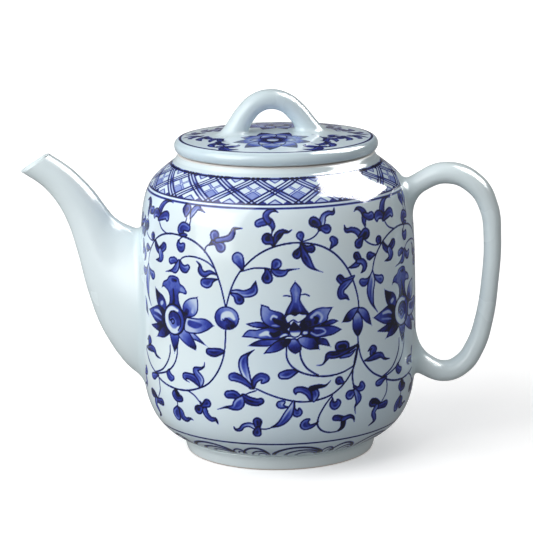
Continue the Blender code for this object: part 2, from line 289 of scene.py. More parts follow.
def pointed_lotus(sheet):
    """A lotus seen from the side, under a pointed finial with whiskers."""
    petal, touch = partial(shape, sheet), partial(dab, sheet)
    petal([
        (8.5, 60), (7.2, 57.5), (8, 55.2), (10.2, 53.7), (10.2, 53.7), (12.5, 55), (12.7, 57.4), (10.6, 60),
    ], (10.2, 55.5), (9.5, 60))
    petal([
        (16, 60.6), (20, 59.8), (23, 59), (24.7, 55.8), (24.7, 55.8), (21, 56.8), (18.5, 57.4),
    ], (18, 59), (26, 56), tone=(0.95, 0.7))
    petal([
        (-8.6, 57.1), (-8.6, 57.1), (-5, 59.3), (-1, 60), (5, 60), (1, 57.4), (-3, 57),
    ], (-8, 57.5), (3, 59.5), tone=(0.92, 0.6))
    petal([
        (10.8, 59.8), (13, 60.8), (17, 60.6), (19.3, 58.5), (20, 55.1), (20, 55.1), (16, 55.2), (12.5, 57),
    ], (19.5, 56), (12, 60), tone=(0.95, 0.35))
    petal([
        (-2.4, 54), (-2.4, 54), (0, 57), (3.5, 59.6), (8, 60.2), (8.6, 59), (7, 57), (3, 54.8),
    ], (7, 58.5), (-1, 55), tone=(0.93, 0.6))
    petal([
        (-9.4, 66), (-9.4, 66), (-5, 67), (-0.5, 66.4), (0, 64.8), (-5.5, 64.6),
    ], (-1, 65), (-9, 66), tone=(0.8, 0.35))
    petal([
        (28.4, 65.8), (28.4, 65.8), (25.6, 66.9), (22, 65.8), (20, 64), (25, 64.6),
    ], (22, 65), (28, 66), tone=(0.92, 0.6))
    petal([
        (-11.1, 60.7), (-11.1, 60.7), (-8.5, 63.5), (-5, 63.8), (-1, 64.7), (6, 64.6), (8, 62), (5, 59.9),
        (-2, 59.9), (-6.5, 60.4),
    ], (8, 62), (-6, 62), tone=(0.97, 0.5))
    petal([
        (29.8, 62.2), (29.8, 62.2), (27, 63.8), (24, 64.5), (18, 65), (13, 65), (12.5, 61.5), (17, 59.8),
        (22, 60), (26, 60.5),
    ], (13, 63), (30, 62), tone=(0.98, 0.68))
    petal([
        (-3.1, 74.1), (-3.1, 74.1), (-0.2, 73.2), (0.8, 72), (4.8, 70.8), (6.5, 69), (8.5, 65.5), (6, 63.6),
        (1, 64.5), (-2.5, 67), (-3.4, 70.5),
    ], (6.5, 66), (-2.5, 71), tone=(0.97, 0.38))
    petal([
        (25.9, 71.7), (25.9, 71.7), (20, 72), (16, 70.2), (13.5, 68), (12, 65), (15, 63.8), (20, 64.9),
        (23.4, 66.5), (24.2, 69),
    ], (14, 66), (24, 70.5), tone=(0.97, 0.4))
    touch(0.04, (-3.6, 61.6, 0.5), (-1, 62.4, 1.0), (0.6, 61.4, 0.5))
    touch(0.97, (0.6, 62.3, 0.6), (2, 61.6, 1.0), (3.6, 62.4, 0.8))
    touch(0.05, (4.4, 60.9, 0.3), (6, 61.6, 0.6), (7, 61.6, 0.4))
    touch(0.25, (1.2, 65.6, 0.3), (2.6, 65.5, 0.5), (4.2, 65.4, 0.3))
    touch(0.1, (0.9, 68.2, 0.5), (1.6, 69.4, 0.5), (3, 69, 0.5))
    touch(0.97, (1.7, 68.2, 0.5), (3.6, 66.8, 1.0), (5.6, 65.8, 1.0))
    touch(0.18, (20.6, 66.4, 0.5), (21.3, 68.4, 0.5), (19.4, 70, 0.6), (17, 68.4, 0.7))
    touch(0.97, (18.2, 68.2, 0.5), (19.3, 67.4, 0.8), (18.6, 66, 0.7))
    touch(0.2, (16.8, 62, 0.4), (19.3, 60.8, 0.4), (22.6, 61.8, 0.4), (21.6, 63.3, 0.4), (18.5, 63.7, 0.4))
    touch(0.7, (18.6, 62.5, 0.6), (20.3, 62.4, 0.5))
    touch(0.08, (14, 62.2, 0.7), (14.8, 62.2, 0.6))
    petal([
        (6.1, 68.5), (7, 66.3), (8.2, 66.6), (9.6, 67.4), (11.6, 66.4), (14, 67.6), (15.3, 69.2),
        (13.5, 70.4), (8, 70.4),
    ], (9, 63), (10, 68), tone=(0.1, 0.02))
    petal([
        (6, 69.3), (7, 72), (8.8, 75.3), (8.9, 77.5), (8.5, 80), (10.5, 83.2), (10.5, 83.2), (12.9, 80.2),
        (12.7, 77.5), (12.6, 75.3), (14.4, 72.2), (15.8, 70), (13.4, 69.6), (12, 70), (10.4, 69.2),
        (8.6, 69.8),
    ], (10.5, 69.5), (10.6, 78), tone=(0.9, 0.55))
    touch(0.32, (10.7, 75, 0.3), (10.9, 78.6, 0.6), (10.6, 81, 0.3))
    touch(0.5, (8, 70.8, 0.3), (9, 73, 0.4), (9.8, 75.2, 0.2))
    touch(0.5, (12.6, 71.2, 0.3), (12, 73, 0.4), (11.6, 75.2, 0.2))
    line(sheet, [(8.6, 77.2), (7.4, 77.5), (5.9, 77.5)], 0.5)
    line(sheet, [(12.9, 77.7), (14.7, 77.8), (16.3, 77)], 0.5)
    petal([
        (9.8, 67.2), (9.8, 67.2), (8.4, 65.2), (7.8, 62.8), (8.5, 61), (10.2, 60.4), (12, 61), (12.9, 63),
        (11.8, 65.2),
    ], (10.2, 63.6), (10.2, 61.4), tone=(0.97, 0.02), reach=1.4)
    line(sheet, [(8.6, 61), (6.5, 61), (4.5, 60.4)], 0.5)


def round_bud(sheet):
    """The round bud where two vines part."""
    touch = partial(dab, sheet)
    shape(sheet, oval(-17.3, 67.9, 5.3, 4.8), (-19.5, 64), (-15, 72), tone=(0.74, 0.4))
    touch(0.05, (-19.4, 67.2, 0.5), (-18.4, 69, 1.2), (-16, 69.5, 1.2), (-14.2, 67.8, 0.6))
    touch(0.82, (-17.8, 67.5, 0.5), (-16.8, 66.6, 0.8), (-14.8, 65.4, 1.2), (-17, 64.5, 1.0))
    line(sheet, [(-19.2, 67.4), (-18.4, 66.8), (-17.4, 67.8), (-15.6, 66.4), (-14.6, 65)], 0.45)


def calyx(sheet):
    """The hanging bud under two spread bracts where three vines meet."""
    petal = partial(shape, sheet)
    petal([
        (35, 67), (34.7, 62.5), (35.8, 59.8), (37.4, 58), (37.4, 58), (38.9, 59.8), (39.9, 62.5), (39.4, 66),
        (37.3, 68.6),
    ], (37.3, 60.5), (37.3, 67.6), tone=(0.88, 0.3))
    petal([
        (37.6, 70.3), (40.5, 69.6), (43, 67), (44.4, 61.9), (44.4, 61.9), (41.4, 63.6), (39.2, 66),
        (37.3, 68.8),
    ], (43.5, 63.5), (38.5, 68.5), tone=(0.86, 0.42))
    petal([
        (38.6, 70.3), (35, 70.2), (32, 68.4), (30, 65.1), (30, 65.1), (33.4, 64.9), (35.2, 66.2),
        (37.2, 68.9),
    ], (31.5, 66), (37, 69.6), tone=(0.95, 0.5))


def vines(sheet):
    """The long vines, then the thin stalks that carry leaves."""
    for knots in (
        [
            (-17.7, 72.4), (-19.5, 80), (-21.8, 86.5), (-24.6, 91.6), (-28.5, 95.5), (-33.5, 98), (-40, 99.1),
            (-46, 99.1), (-52, 97.7), (-57, 95), (-60.4, 91.6), (-62.6, 88), (-63.8, 83.6),
        ],
        [
            (-71.6, 56.5), (-70.5, 50.5), (-68, 46), (-64, 42), (-59, 39.3), (-54, 37), (-48, 35.6),
            (-42, 35.3), (-36, 35.9), (-30, 37.9), (-26, 40.2), (-22.5, 44.2), (-19.9, 49.2), (-18.4, 55),
            (-17.8, 63),
        ],
        [(-46.4, 53), (-46.6, 49.6), (-48.2, 46), (-51.3, 42.5), (-54.5, 40.7), (-58.6, 39.3)],
        [(-41.8, 54), (-42.2, 49.6), (-44, 45.6), (-47.4, 42.4), (-51, 40.7), (-56, 39.3), (-58.8, 39.2)],
        [
            (-17.5, 72.4), (-15.6, 79), (-13.2, 84.4), (-10, 88.8), (-5, 93.4), (0, 96.3), (5.5, 98),
            (11, 98.6), (17, 98), (22, 96.5), (27, 93.4), (31, 89.2), (34, 84.4), (36.2, 79), (37.5, 74),
            (37.9, 70.2),
        ],
        [
            (37.3, 58.5), (37.3, 54.8), (36.6, 50.3), (35, 45.7), (32, 41.3), (28.4, 37.9), (24, 35.4),
            (18, 34), (12, 33.9), (6, 35.1), (0, 37.1), (-5.6, 39.6),
        ],
        [(37.3, 55.5), (35.6, 48.6), (34.6, 43.5), (34.8, 39.6), (35.6, 37.4)],
        [
            (6.9, 57.2), (6.7, 53), (8.2, 49.4), (11.2, 46.8), (15, 45.1), (20, 44), (25, 43.8), (30.5, 44.7),
            (35.2, 46.6),
        ],
        [(12, 55.2), (12.7, 51.4), (14.6, 48), (17.2, 45.8), (19.5, 44.5)],
        [
            (25.5, 35.5), (22.4, 31.7), (20, 27.2), (19.5, 23.4), (21.4, 20.5), (24.6, 19), (28, 18.8),
            (30, 19.3),
        ],
    ):
        line(sheet, knots, 0.66)
    for knots in (
        [(-22.4, 87.6), (-25.5, 89.8), (-30, 91.2), (-35, 91.3), (-38.3, 90.3), (-40, 88.6)],
        [(-38, 99), (-39.9, 97.8), (-40.6, 96)],
        [(-48.5, 98.8), (-52, 100), (-54, 101.8), (-55, 104)],
        [(-37, 106.5), (-37.7, 103.6)],
        [(-35.4, 102.6), (-34.6, 106.6)],
        [(-27, 93.8), (-26.4, 96), (-24.4, 97.4)],
        [(-67.4, 97.2), (-65, 95.4), (-61.5, 94.2), (-57.5, 94.6)],
        [(-36.5, 35.7), (-33.3, 34.2), (-31, 32)],
        [(-43.2, 30.4), (-43.7, 27.6)],
        [(-55.8, 38), (-55.2, 34.4), (-55.8, 31.4), (-58, 28.6)],
        [(-10.8, 87.2), (-6, 88.6), (-1.2, 88.7), (2.6, 87.8)],
        [(14.2, 99), (17.6, 100), (20, 101.7), (21.4, 104)],
        [(2.2, 97), (1.4, 100), (1.7, 104)],
        [(-5.5, 38.8), (-9, 37.5), (-11.6, 35.6)],
        [(1, 23.2), (-1.6, 22.2), (-5, 22.2)],
        [(25.3, 34.9), (25.7, 33)],
        [(30.8, 40), (28.6, 41)],
    ):
        line(sheet, knots, 0.52)


def leaves_round_spiral_lotus(sheet):
    """The leaves and small buds of the panel with the spiral lotus."""
    draw = partial(leaf, sheet)
    draw(
        (-55.2, 104.6, 0.9), (-55.4, 107, 1.7), (-54.2, 109.6, 1.5), (-52, 111.3, 0.9), (-49.6, 111.9, 0.4),
        (-46.8, 111.5, 0.12),
    )
    draw((-55, 104.8, 1.3), (-57.4, 106, 1.9), (-59.2, 105.4, 1.7), (-59.4, 103.6, 0.5), tone=(0.9, 0.5))
    draw((-55.4, 103.6, 0.9), (-52.6, 105.2, 1.7), (-49.8, 106, 1.8), (-49, 104.8, 1.3), tone=(0.95, 0.5))
    draw((-37.6, 107.4, 0.8), (-37.7, 110, 2.4), tone=(0.7, 0.75))
    draw(
        (-35, 106.6, 0.4), (-34, 109.4, 1.5), (-32.2, 111.2, 1.2), (-30.3, 110.6, 0.6), (-27.9, 109.5, 0.12),
        tone=(0.4, 0.75),
    )
    draw((-38.4, 99.6, 1.0), (-39.8, 101.5, 1.9), (-38.4, 103, 1.9), (-36, 102.6, 1.6))
    draw((-39.5, 99.4, 0.8), (-37.6, 99.6, 0.9), (-36.4, 99.6, 0.5))
    draw((-40.7, 97, 0.5), (-40.7, 95.2, 1.2), (-39.2, 94.2, 1.9), (-38, 95.4, 1.2))
    draw(
        (-56.9, 94.8, 0.5), (-56, 92.7, 1.3), (-53.7, 91.1, 1.5), (-51.5, 92.1, 1.7), (-50, 93.3, 1.8),
        tone=(0.95, 0.8),
    )
    draw((-52.9, 91, 1.5), (-51.9, 88.9, 1.7), (-52.9, 87.4, 1.1), (-56.2, 86.8, 0.15), tone=(0.5, 0.95))
    draw((-41, 88.3, 0.7), (-43, 88.7, 1.4), (-45.1, 88.2, 1.5))
    draw((-39.7, 88.8, 0.6), (-38.8, 86.7, 1.4), (-37, 85.8, 1.7), (-35.4, 86.8, 1.2), tone=(0.9, 0.5))
    draw(
        (-40.3, 88.9, 0.6), (-41.2, 86.8, 1.3), (-42.5, 84.9, 1.5), (-44.8, 84.2, 0.6), (-48.6, 83.2, 0.12),
        tone=(0.5, 0.85),
    )
    draw(
        (-31, 89.9, 0.12), (-29.2, 88.3, 0.6), (-29, 86.2, 1.3), (-27.2, 84.9, 1.3), (-24.3, 85.9, 0.9),
        (-21.2, 85.1, 0.2),
    )
    draw((-21, 83.4, 0.25), (-23.6, 82.7, 1.0), (-25.6, 81.5, 2.1), (-27.2, 81.5, 1.9))
    draw((-64.4, 82.8, 0.4), (-66.1, 80.8, 0.9), (-68.2, 79.9, 1.7), (-69.4, 80.5, 1.4))
    draw((-63.1, 82.2, 0.5), (-61, 80.7, 1.3), (-59, 79.9, 1.9), tone=(0.6, 0.6))
    draw(
        (-63.7, 84, 0.4), (-64.2, 80, 1.9), (-65, 75.8, 1.9), (-64.4, 72, 1.2), (-63.3, 69.5, 0.5),
        (-61, 66.6, 0.12), tone=(0.25, 1.0),
    )
    bud(sheet, -59.4, 96, 1.8, (-60, 94))
    bud(sheet, -65, 90.3, 1.8, (-61.6, 90.4))
    draw(
        (-71.2, 108.9, 0.12), (-69.2, 110, 0.7), (-67, 109, 1.3), (-66, 107, 1.6), (-66.7, 104.8, 1.2),
        (-66.4, 102.4, 0.4), tone=(0.95, 0.75),
    )
    draw((-66, 107, 1.2), (-63.8, 106, 1.6), (-62.3, 106.2, 1.8))
    draw(
        (-76.7, 104, 0.2), (-76, 101.9, 0.9), (-73.5, 101.9, 1.1), (-71, 101, 1.3), (-69, 98.8, 1.5),
        tone=(0.97, 0.6),
    )
    draw((-69.2, 98.4, 1.4), (-66.6, 99.5, 2.4), tone=(0.9, 0.9))
    draw((-68.6, 98, 1.0), (-70.4, 96, 2.1), tone=(0.9, 0.85))
    draw((-47.3, 42.6, 0.5), (-47.9, 40.8, 1.5), (-46.6, 39.5, 1.7), (-45.2, 39.6, 1.1))
    draw(
        (-30.4, 39, 1.0), (-32.9, 41.2, 1.7), (-35.7, 41.9, 1.5), (-38, 41.6, 1.4), (-37.4, 40.1, 0.4),
        (-35.6, 39.4, 0.12),
    )
    draw(
        (-29.9, 38.2, 0.5), (-29.6, 41.2, 1.6), (-31.7, 43.7, 1.5), (-32.2, 45.2, 1.2), (-29.8, 45.9, 0.7),
        (-28, 46.9, 0.35), (-27.6, 48.8, 0.12), tone=(0.45, 0.95),
    )
    draw((-18.5, 54.2, 0.4), (-20.5, 53.9, 1.4), (-23.3, 53.3, 1.9), (-25.5, 53.5, 1.5), tone=(0.9, 0.8))
    draw((-43.4, 34.6, 0.9), (-45, 32.6, 1.4), (-43.4, 31.2, 1.6), (-41.2, 31.5, 1.6), tone=(0.7, 0.95))
    draw((-43.8, 34.4, 0.9), (-42.6, 33, 1.2), tone=(0.95, 0.95), pale=0)
    draw(
        (-30.6, 31.8, 0.4), (-28.8, 29.3, 1.3), (-28, 26.7, 1.4), (-26, 24.9, 1.2), (-23.9, 25, 0.8),
        (-23, 23, 0.2), tone=(0.6, 0.95),
    )
    draw((-29.8, 29.8, 0.9), (-31.7, 28.3, 2.1), tone=(0.9, 0.9))
    draw((-29.5, 30.2, 0.9), (-27.1, 31.7, 1.9), tone=(0.9, 0.8))
    draw((-43.7, 27.8, 0.4), (-44.4, 26, 1.5), (-45.3, 24.2, 2.3), (-45.1, 22.8, 2))
    draw(
        (-43, 27.4, 0.3), (-41.8, 25.6, 1.3), (-41.6, 23.3, 1.6), (-39.5, 22.4, 1.1), (-37.3, 23.3, 0.6),
        (-35.6, 22.9, 0.12), tone=(0.7, 0.95),
    )
    draw((-59.5, 27.6, 1.3), (-62, 28.9, 1.9), (-63.6, 29.2, 2.0), tone=(0.95, 0.95))
    draw((-60.5, 27, 1.4), (-58, 26.8, 1.5), (-55.4, 27, 1.8), tone=(0.9, 0.85))
    draw(
        (-60.8, 27, 1.3), (-62.2, 24.5, 1.3), (-61, 22, 1.1), (-60.6, 20.3, 0.8), (-63, 18.6, 0.3),
        tone=(0.6, 0.97),
    )
    draw((-55.6, 38.5, 0.3), (-57.8, 38, 1.0), (-60, 37.2, 1.6), (-61.3, 37.1, 1.3))
    draw((-64.6, 48.9, 0.9), (-64.4, 50.8, 1.3), (-63.1, 51.6, 1.5), (-64.4, 52.7, 0.9), (-66.5, 51.4, 0.3))
    draw(
        (-68.4, 47.8, 0.3), (-65.5, 48, 1.1), (-62.2, 48.6, 1.5), (-59.1, 48.4, 1.2), (-57, 46.6, 0.6),
        (-53.5, 45.9, 0.12), tone=(0.9, 0.75),
    )


def leaves_round_pointed_lotus(sheet):
    """The leaves and small buds of the panel with the pointed lotus."""
    draw = partial(leaf, sheet)
    draw(
        (37.3, 91.3, 1.7), (38.3, 89.6, 1.5), (37.6, 88, 1.4), (35.2, 87.2, 0.8), (33.2, 86.8, 0.2),
        tone=(0.95, 0.6),
    )
    draw(
        (38, 88.9, 1.1), (40, 88.6, 1.3), (41.3, 87, 1.3), (40.8, 85.2, 0.9), (39.3, 84.1, 0.2),
        tone=(0.6, 0.9),
    )
    draw((29.3, 83, 1.7), (30.8, 81.5, 1.6), (33, 81.6, 1.5), (35.8, 83.2, 0.5), tone=(0.95, 0.4))
    draw(
        (35, 82, 0.6), (31.8, 80.3, 1.6), (29.8, 78.5, 1.6), (29.8, 76, 1.6), (31.8, 75.3, 0.9),
        (33.3, 73.8, 0.2), tone=(0.6, 0.98),
    )
    draw((25.3, 95.2, 0.3), (26.6, 96.8, 1.0), (27.5, 98, 1.6), (26.5, 99.1, 1.3))
    draw((13.7, 98, 0.5), (12.8, 95.8, 1.1), (11.5, 94, 1.9), tone=(0.95, 0.9))
    draw((13.9, 97.8, 0.5), (15.5, 96.1, 1.3), (17.4, 95.9, 1.7), tone=(0.95, 0.9))
    draw(
        (13.3, 98.2, 0.6), (13.9, 95.5, 1.2), (15.2, 92, 1.8), (16.9, 89.3, 1.2), (18.8, 87.6, 0.4),
        (22, 86.2, 0.1), tone=(0.95, 0.6),
    )
    bud(sheet, 13, 101.4, 1.7, (13.7, 98.8), tone=(0.65, 0.9))
    draw(
        (21.3, 103.6, 1.0), (22.4, 106, 1.5), (23.4, 108.4, 1.2), (25.6, 109.5, 1.0), (27.8, 109.4, 0.8),
        (28.6, 111.4, 0.2), tone=(0.3, 0.98),
    )
    draw((21.3, 104.2, 0.8), (20.4, 105.6, 1.8), (18.9, 106.5, 2.2), tone=(0.97, 0.9))
    draw((21.6, 103.9, 0.9), (22.8, 103.6, 1.4), (24.3, 103.3, 2.0), tone=(0.97, 0.75))
    draw(
        (2.1, 97.2, 0.4), (3, 100, 1.2), (4.2, 101.9, 1.6), (6, 103.2, 1.0), (8.2, 103, 0.5),
        (9.7, 103.8, 0.12), tone=(0.95, 0.97),
    )
    draw((2.1, 97.4, 0.4), (1.3, 99.3, 1.3), (-0.3, 100.4, 2.4), tone=(0.85, 0.92))
    draw((1.8, 103.6, 0.4), (1.9, 105.4, 1.1), (0.3, 107.3, 1.6), (-2.3, 107, 1.7), (-4, 106.4, 1.6))
    draw((0.2, 107.2, 1.3), (-1, 109.4, 1.4), (0.2, 111.1, 1.1), (2.4, 111.6, 0.6), (4.3, 110.7, 0.12))
    draw((-24.8, 97, 0.4), (-22.9, 98.6, 1.3), (-22.6, 101, 2.1))
    draw((-23.3, 98.2, 1.0), (-21.3, 97.8, 1.4), (-19.7, 96.4, 2.2))
    draw(
        (-21.5, 99, 1.2), (-18.5, 99.6, 1.2), (-15.8, 100.5, 1.4), (-14.6, 102.4, 1.2), (-14, 104, 0.7),
        (-10.5, 104.3, 0.12), tone=(0.6, 0.9),
    )
    draw((-10.4, 87.6, 0.5), (-11.2, 90.2, 1.6), (-12.4, 92.4, 2.5), tone=(0.97, 0.35), pale=0.2)
    draw((2, 88.2, 0.9), (3.3, 90.4, 2.1))
    draw((-1.5, 88.8, 0.3), (-0.4, 87.2, 1.2), (-0.5, 84.7, 2.3), tone=(0.97, 0.8))
    draw(
        (1.6, 87.8, 0.8), (3.7, 86.8, 1.6), (6, 86.7, 1.3), (8, 87.8, 0.5), (12.3, 88.2, 0.12),
        tone=(0.75, 0.6),
    )
    draw(
        (-15.4, 78.9, 0.5), (-13, 78.7, 1.2), (-9.5, 78.2, 1.6), (-6.3, 79.3, 1.8), (-5.6, 81.3, 1.1),
        (-5.1, 83.6, 0.12), tone=(0.3, 0.95),
    )
    draw((-15.4, 78, 0.4), (-13.2, 77.2, 1.3), (-11.9, 75.7, 2.1), tone=(0.45, 0.85))
    draw(
        (-7.8, 40.2, 0.9), (-9.6, 45, 1.8), (-10.6, 48.5, 2.1), (-10.5, 51.2, 1.8), (-9, 53.4, 0.8),
        (-6, 55.6, 0.12), tone=(0.2, 1.0),
    )
    draw((-7.2, 40, 0.8), (-11, 42.8, 1.5), (-14, 44, 1.9), (-15.4, 43.9, 1.7))
    draw(
        (-6.6, 39.8, 0.6), (-6.1, 42.8, 1.3), (-3.8, 44.6, 1.6), (-1.6, 43.9, 1.6), (-3, 42.3, 0.8),
        tone=(0.9, 0.6),
    )
    draw((-10.9, 36, 1.4), (-8.5, 34.5, 1.8), (-5.6, 33.9, 1.7), (-3.8, 34.4, 1.4), tone=(0.97, 0.75))
    draw((-12, 35.2, 1.0), (-14.6, 36.6, 1.8), (-17.3, 36.5, 1.7), tone=(0.97, 0.7))
    draw(
        (-11.5, 35.6, 0.9), (-12.9, 33, 2.4), (-15, 31.2, 1.3), (-18.5, 31, 0.5), (-22.5, 29.6, 0.12),
        tone=(0.5, 0.97),
    )
    draw((11.5, 46.6, 0.3), (9.5, 46.3, 1.3), (7, 45.5, 2.0), (4.8, 45.1, 1.6), tone=(0.95, 0.55))
    draw((16.5, 34.4, 0.8), (15.4, 37.4, 1.5), (12.8, 38.9, 1.4), (10.4, 38.8, 1.2), (10.3, 37.3, 0.4))
    draw((17.6, 34.2, 0.9), (18.3, 36.6, 1.7), (17.3, 38.8, 1.5), tone=(0.5, 0.9))
    draw(
        (16.5, 39.1, 1.2), (19.5, 39.8, 1.0), (22.5, 39.9, 0.5), (24.7, 41.7, 0.12), tone=(0.97, 0.97),
        pale=0,
    )
    bud(sheet, 28.4, 41.3, 1.8, (30.8, 40))
    draw((30.9, 53.3, 1.4), (31.2, 55.2, 2.1), (28.8, 55.3, 2.2), tone=(0.97, 0.85))
    draw((36, 53.2, 0.3), (33.4, 51.4, 0.9), (29.4, 51.2, 1.0), tone=(0.3, 0.5), pale=0)
    draw(
        (37.2, 55, 0.4), (34.5, 53.9, 0.8), (31.5, 52.9, 1.1), (27, 52.1, 1.6), (24, 52.2, 1.4),
        (22.9, 50.6, 0.7), (21.3, 48.7, 0.3), (18.8, 48.5, 0.12), tone=(0.97, 0.9),
    )
    draw((29.6, 19.2, 0.6), (31.2, 20.8, 1.1), (31.2, 23.6, 1.3), tone=(0.97, 0.97), pale=0.1)
    draw((31.4, 24.4, 1.2), (29, 25.2, 1.4), (27.2, 25.5, 1.4), tone=(0.97, 0.9))
    draw((31, 24.4, 1.3), (34, 25.2, 1.0), (36, 24.2, 0.6), (36.8, 22.2, 0.15), tone=(0.8, 0.97))
    draw((25.6, 33.8, 0.5), (25.4, 31.9, 1.2), (26.8, 30.9, 1.8), (28.2, 32, 1.3), (27.8, 33.2, 0.6))
    draw(
        (19.8, 24.7, 0.3), (18, 23.3, 0.8), (16, 22.6, 1.2), (14.1, 23.4, 2.1), (14.4, 25, 1.4),
        (15.6, 25.9, 0.7),
    )
    draw((6.8, 31.9, 0.4), (5.3, 32, 0.8), (3.9, 33, 1.6), (5.4, 34, 0.8), tone=(0.7, 0.4))
    draw((9.6, 33.8, 0.4), (9.5, 31, 0.7), (10.5, 29, 1.6), (11.8, 29.4, 1.3), (11.6, 31, 0.5))
    draw(
        (9.3, 34.3, 0.5), (8.4, 31.5, 1.3), (7, 28.5, 1.9), (5, 25.7, 1.6), (2.6, 23.9, 0.9), (0.2, 23, 0.3),
        tone=(0.25, 1.0),
    )
    draw(
        (-5.9, 22.6, 1.4), (-9, 23.9, 1.1), (-11.6, 23.2, 1.0), (-13.2, 21.4, 0.9), (-15.2, 21.2, 0.6),
        (-15.9, 22.6, 0.15), tone=(0.35, 0.97),
    )
    draw((-5.6, 22.6, 1.2), (-5.5, 25.4, 2.0), tone=(0.97, 0.85))
    draw((-5.4, 22.4, 1.2), (-6, 20.1, 2.0), tone=(0.97, 0.75))
    draw((35.9, 36, 0.8), (33.4, 34.6, 2.1))
    draw((35.4, 37.8, 0.7), (37, 36.6, 1.1), (39.3, 37, 1.6), (39, 38.5, 1.1))
    draw(
        (36, 36, 1.0), (37.6, 32.8, 1.6), (37.2, 30.7, 0.9), (36.2, 29, 0.4), (36.7, 25.9, 0.12),
        tone=(0.5, 0.95),
    )


def scroll_sheet(height):
    """Two panels of the lotus scroll, which repeat round the pot."""
    sheet = Sheet(PANEL_LEFT, 0, PANEL_PAIR, height)
    vines(sheet)
    leaves_round_spiral_lotus(sheet)
    leaves_round_pointed_lotus(sheet)
    round_bud(sheet)
    calyx(sheet)
    spiral_lotus(sheet, *SPIRAL_HEART)
    pointed_lotus(sheet)
    return sheet


# ---- Painting: borders, foot and lid

BELLY_MM = 57.5
ROUND = math.tau * BELLY_MM
TRELLIS_REPEATS = 18
TRELLIS_CROSSING = -17.6
TRELLIS_STRETCH = 0.025
TRELLIS_FOOT, TRELLIS_MIDDLE, TRELLIS_HALF = 114, 120.2, 6.3
STRAND_GAP, STRAND = 1.3, 0.52
FOOT_WAVES, WAVES_START, WAVES_TOP = 8, -45.5, 12.5
# Lines round the pot: height, width and pigment
LINES = ((13.8, 0.74, 0.97), (112.3, 0.62, 0.95), (113.9, 0.52, 0.95), (126.5, 0.9, 0.95))
LID_REACH, LID_LOTUS_REACH = 42.0, 19.4
LID_LINE_RADIUS, LID_LINE = 39.7, 0.9
# Sprigs on a quarter of the lid: where each starts, its heading in degrees and its size
LID_SPRIGS = (
    (20.8, -14.4, -24, 0.86), (21.4, -21.8, -60, 0.9), (18.8, -28.4, -116, 1.02),
    (27.4, -8.6, -52, 0.86), (32, -5, 24, 0.8), (24.2, -10, 84, 0.74),
)
SPRIG = (
    ((0, 0, 0.5), (2.4, 1.7, 1.9), (5.4, 0.9, 1.5), (7.4, -2.6, 0.2)),
    ((0, 0, 0.5), (1.9, -1.8, 1.7), (2.2, -4.4, 1.1), (0.4, -5.6, 0.2)),
    ((-0.4, 0.2, 0.5), (-1.3, 2.2, 1.25)),
)


def stroke(distance, width, soft=0.25):
    """Cover of a line that is a width across, from the distance to its middle."""
    return np.clip(0.5 - (np.abs(distance) - width / 2) / soft, 0, 1)


def diamond(across, up, x, y, size):
    """How far inside a diamond each point is, in the trellis's units."""
    return size - np.abs(across - x) - np.abs(up - y)


def trellis(u, v):
    """Crossed bands of three strands, with small diamonds in the openings."""
    turn = (u - TRELLIS_CROSSING) / BELLY_MM
    across = TRELLIS_REPEATS / math.pi * (turn - TRELLIS_STRETCH * np.sin(turn))
    up = (v - TRELLIS_MIDDLE) / TRELLIS_HALF
    pitch = ROUND / TRELLIS_REPEATS / 2
    scale = 1 / math.hypot(1 / pitch, 1 / TRELLIS_HALF)
    ink = np.zeros(u.shape)
    even = (across + 1) % 2 - 1
    odd = across % 2 - 1
    for x, y, wash in ((0.38, 0, 0.02), (-0.38, 0, 0.02), (0, 0.38, 0.02), (0, -0.38, 0.28)):
        depth = diamond(odd, up, x, y, 0.31) * scale
        ink = np.where(depth > 0, wash, ink)
        ink = np.maximum(ink, stroke(depth, 0.32) * 0.72)
    for y in (-1.02, 1.02):
        for x in (-0.52, 0.52):
            ink = np.where(diamond(even, up, x, y, 0.26) > 0, 0.7, ink)
        depth = diamond(even, up, 0, y, 0.36) * scale
        ink = np.where(depth > 0, 0.14, ink)
        ink = np.maximum(ink, stroke(depth, 0.36) * 0.9)
    offsets = [((slant + 1) % 2 - 1) * scale for slant in (across - up, across + up)]
    near = 0.1 + 0.55 * np.exp(-((even / 0.36) ** 2) - (up / 0.36) ** 2)
    for offset in offsets:
        band = np.clip((STRAND_GAP - np.abs(offset)) / 0.2, 0, 1)
        fill = np.where((offset > 0) & (offset < STRAND_GAP), near, 0.03)
        ink = ink + band * (fill - ink)
    for offset in offsets:
        for at in (-STRAND_GAP, 0, STRAND_GAP):
            ink = np.maximum(ink, stroke(offset - at, STRAND))
    return ink


def foot_waves(u, v):
    """Brushed arches like waves above the foot."""
    along = (u - WAVES_START) % (ROUND / FOOT_WAVES)
    ink = np.zeros(u.shape)
    for middle, half, base, peak, width in (
        (13, 12.4, 4.2, 11.2, 1.125), (15.6, 8.8, 3.6, 8.8, 1), (17.6, 5.2, 3.2, 6.6, 0.875),
        (28.4, 3.4, 4.6, 9.2, 1), (29.2, 1.7, 4.2, 7.2, 0.875),
        (37, 6.6, 4.2, 10.8, 1.125), (39.2, 4.4, 3.6, 8.4, 1), (40.2, 2.2, 3.4, 6.2, 0.875),
    ):
        reach = np.hypot((along - middle) / half, np.maximum(v - base, 0) / (peak - base))
        ink = np.maximum(ink, stroke((reach - 1) * (peak - base), width, 0.5) * (v > base))
    return ink


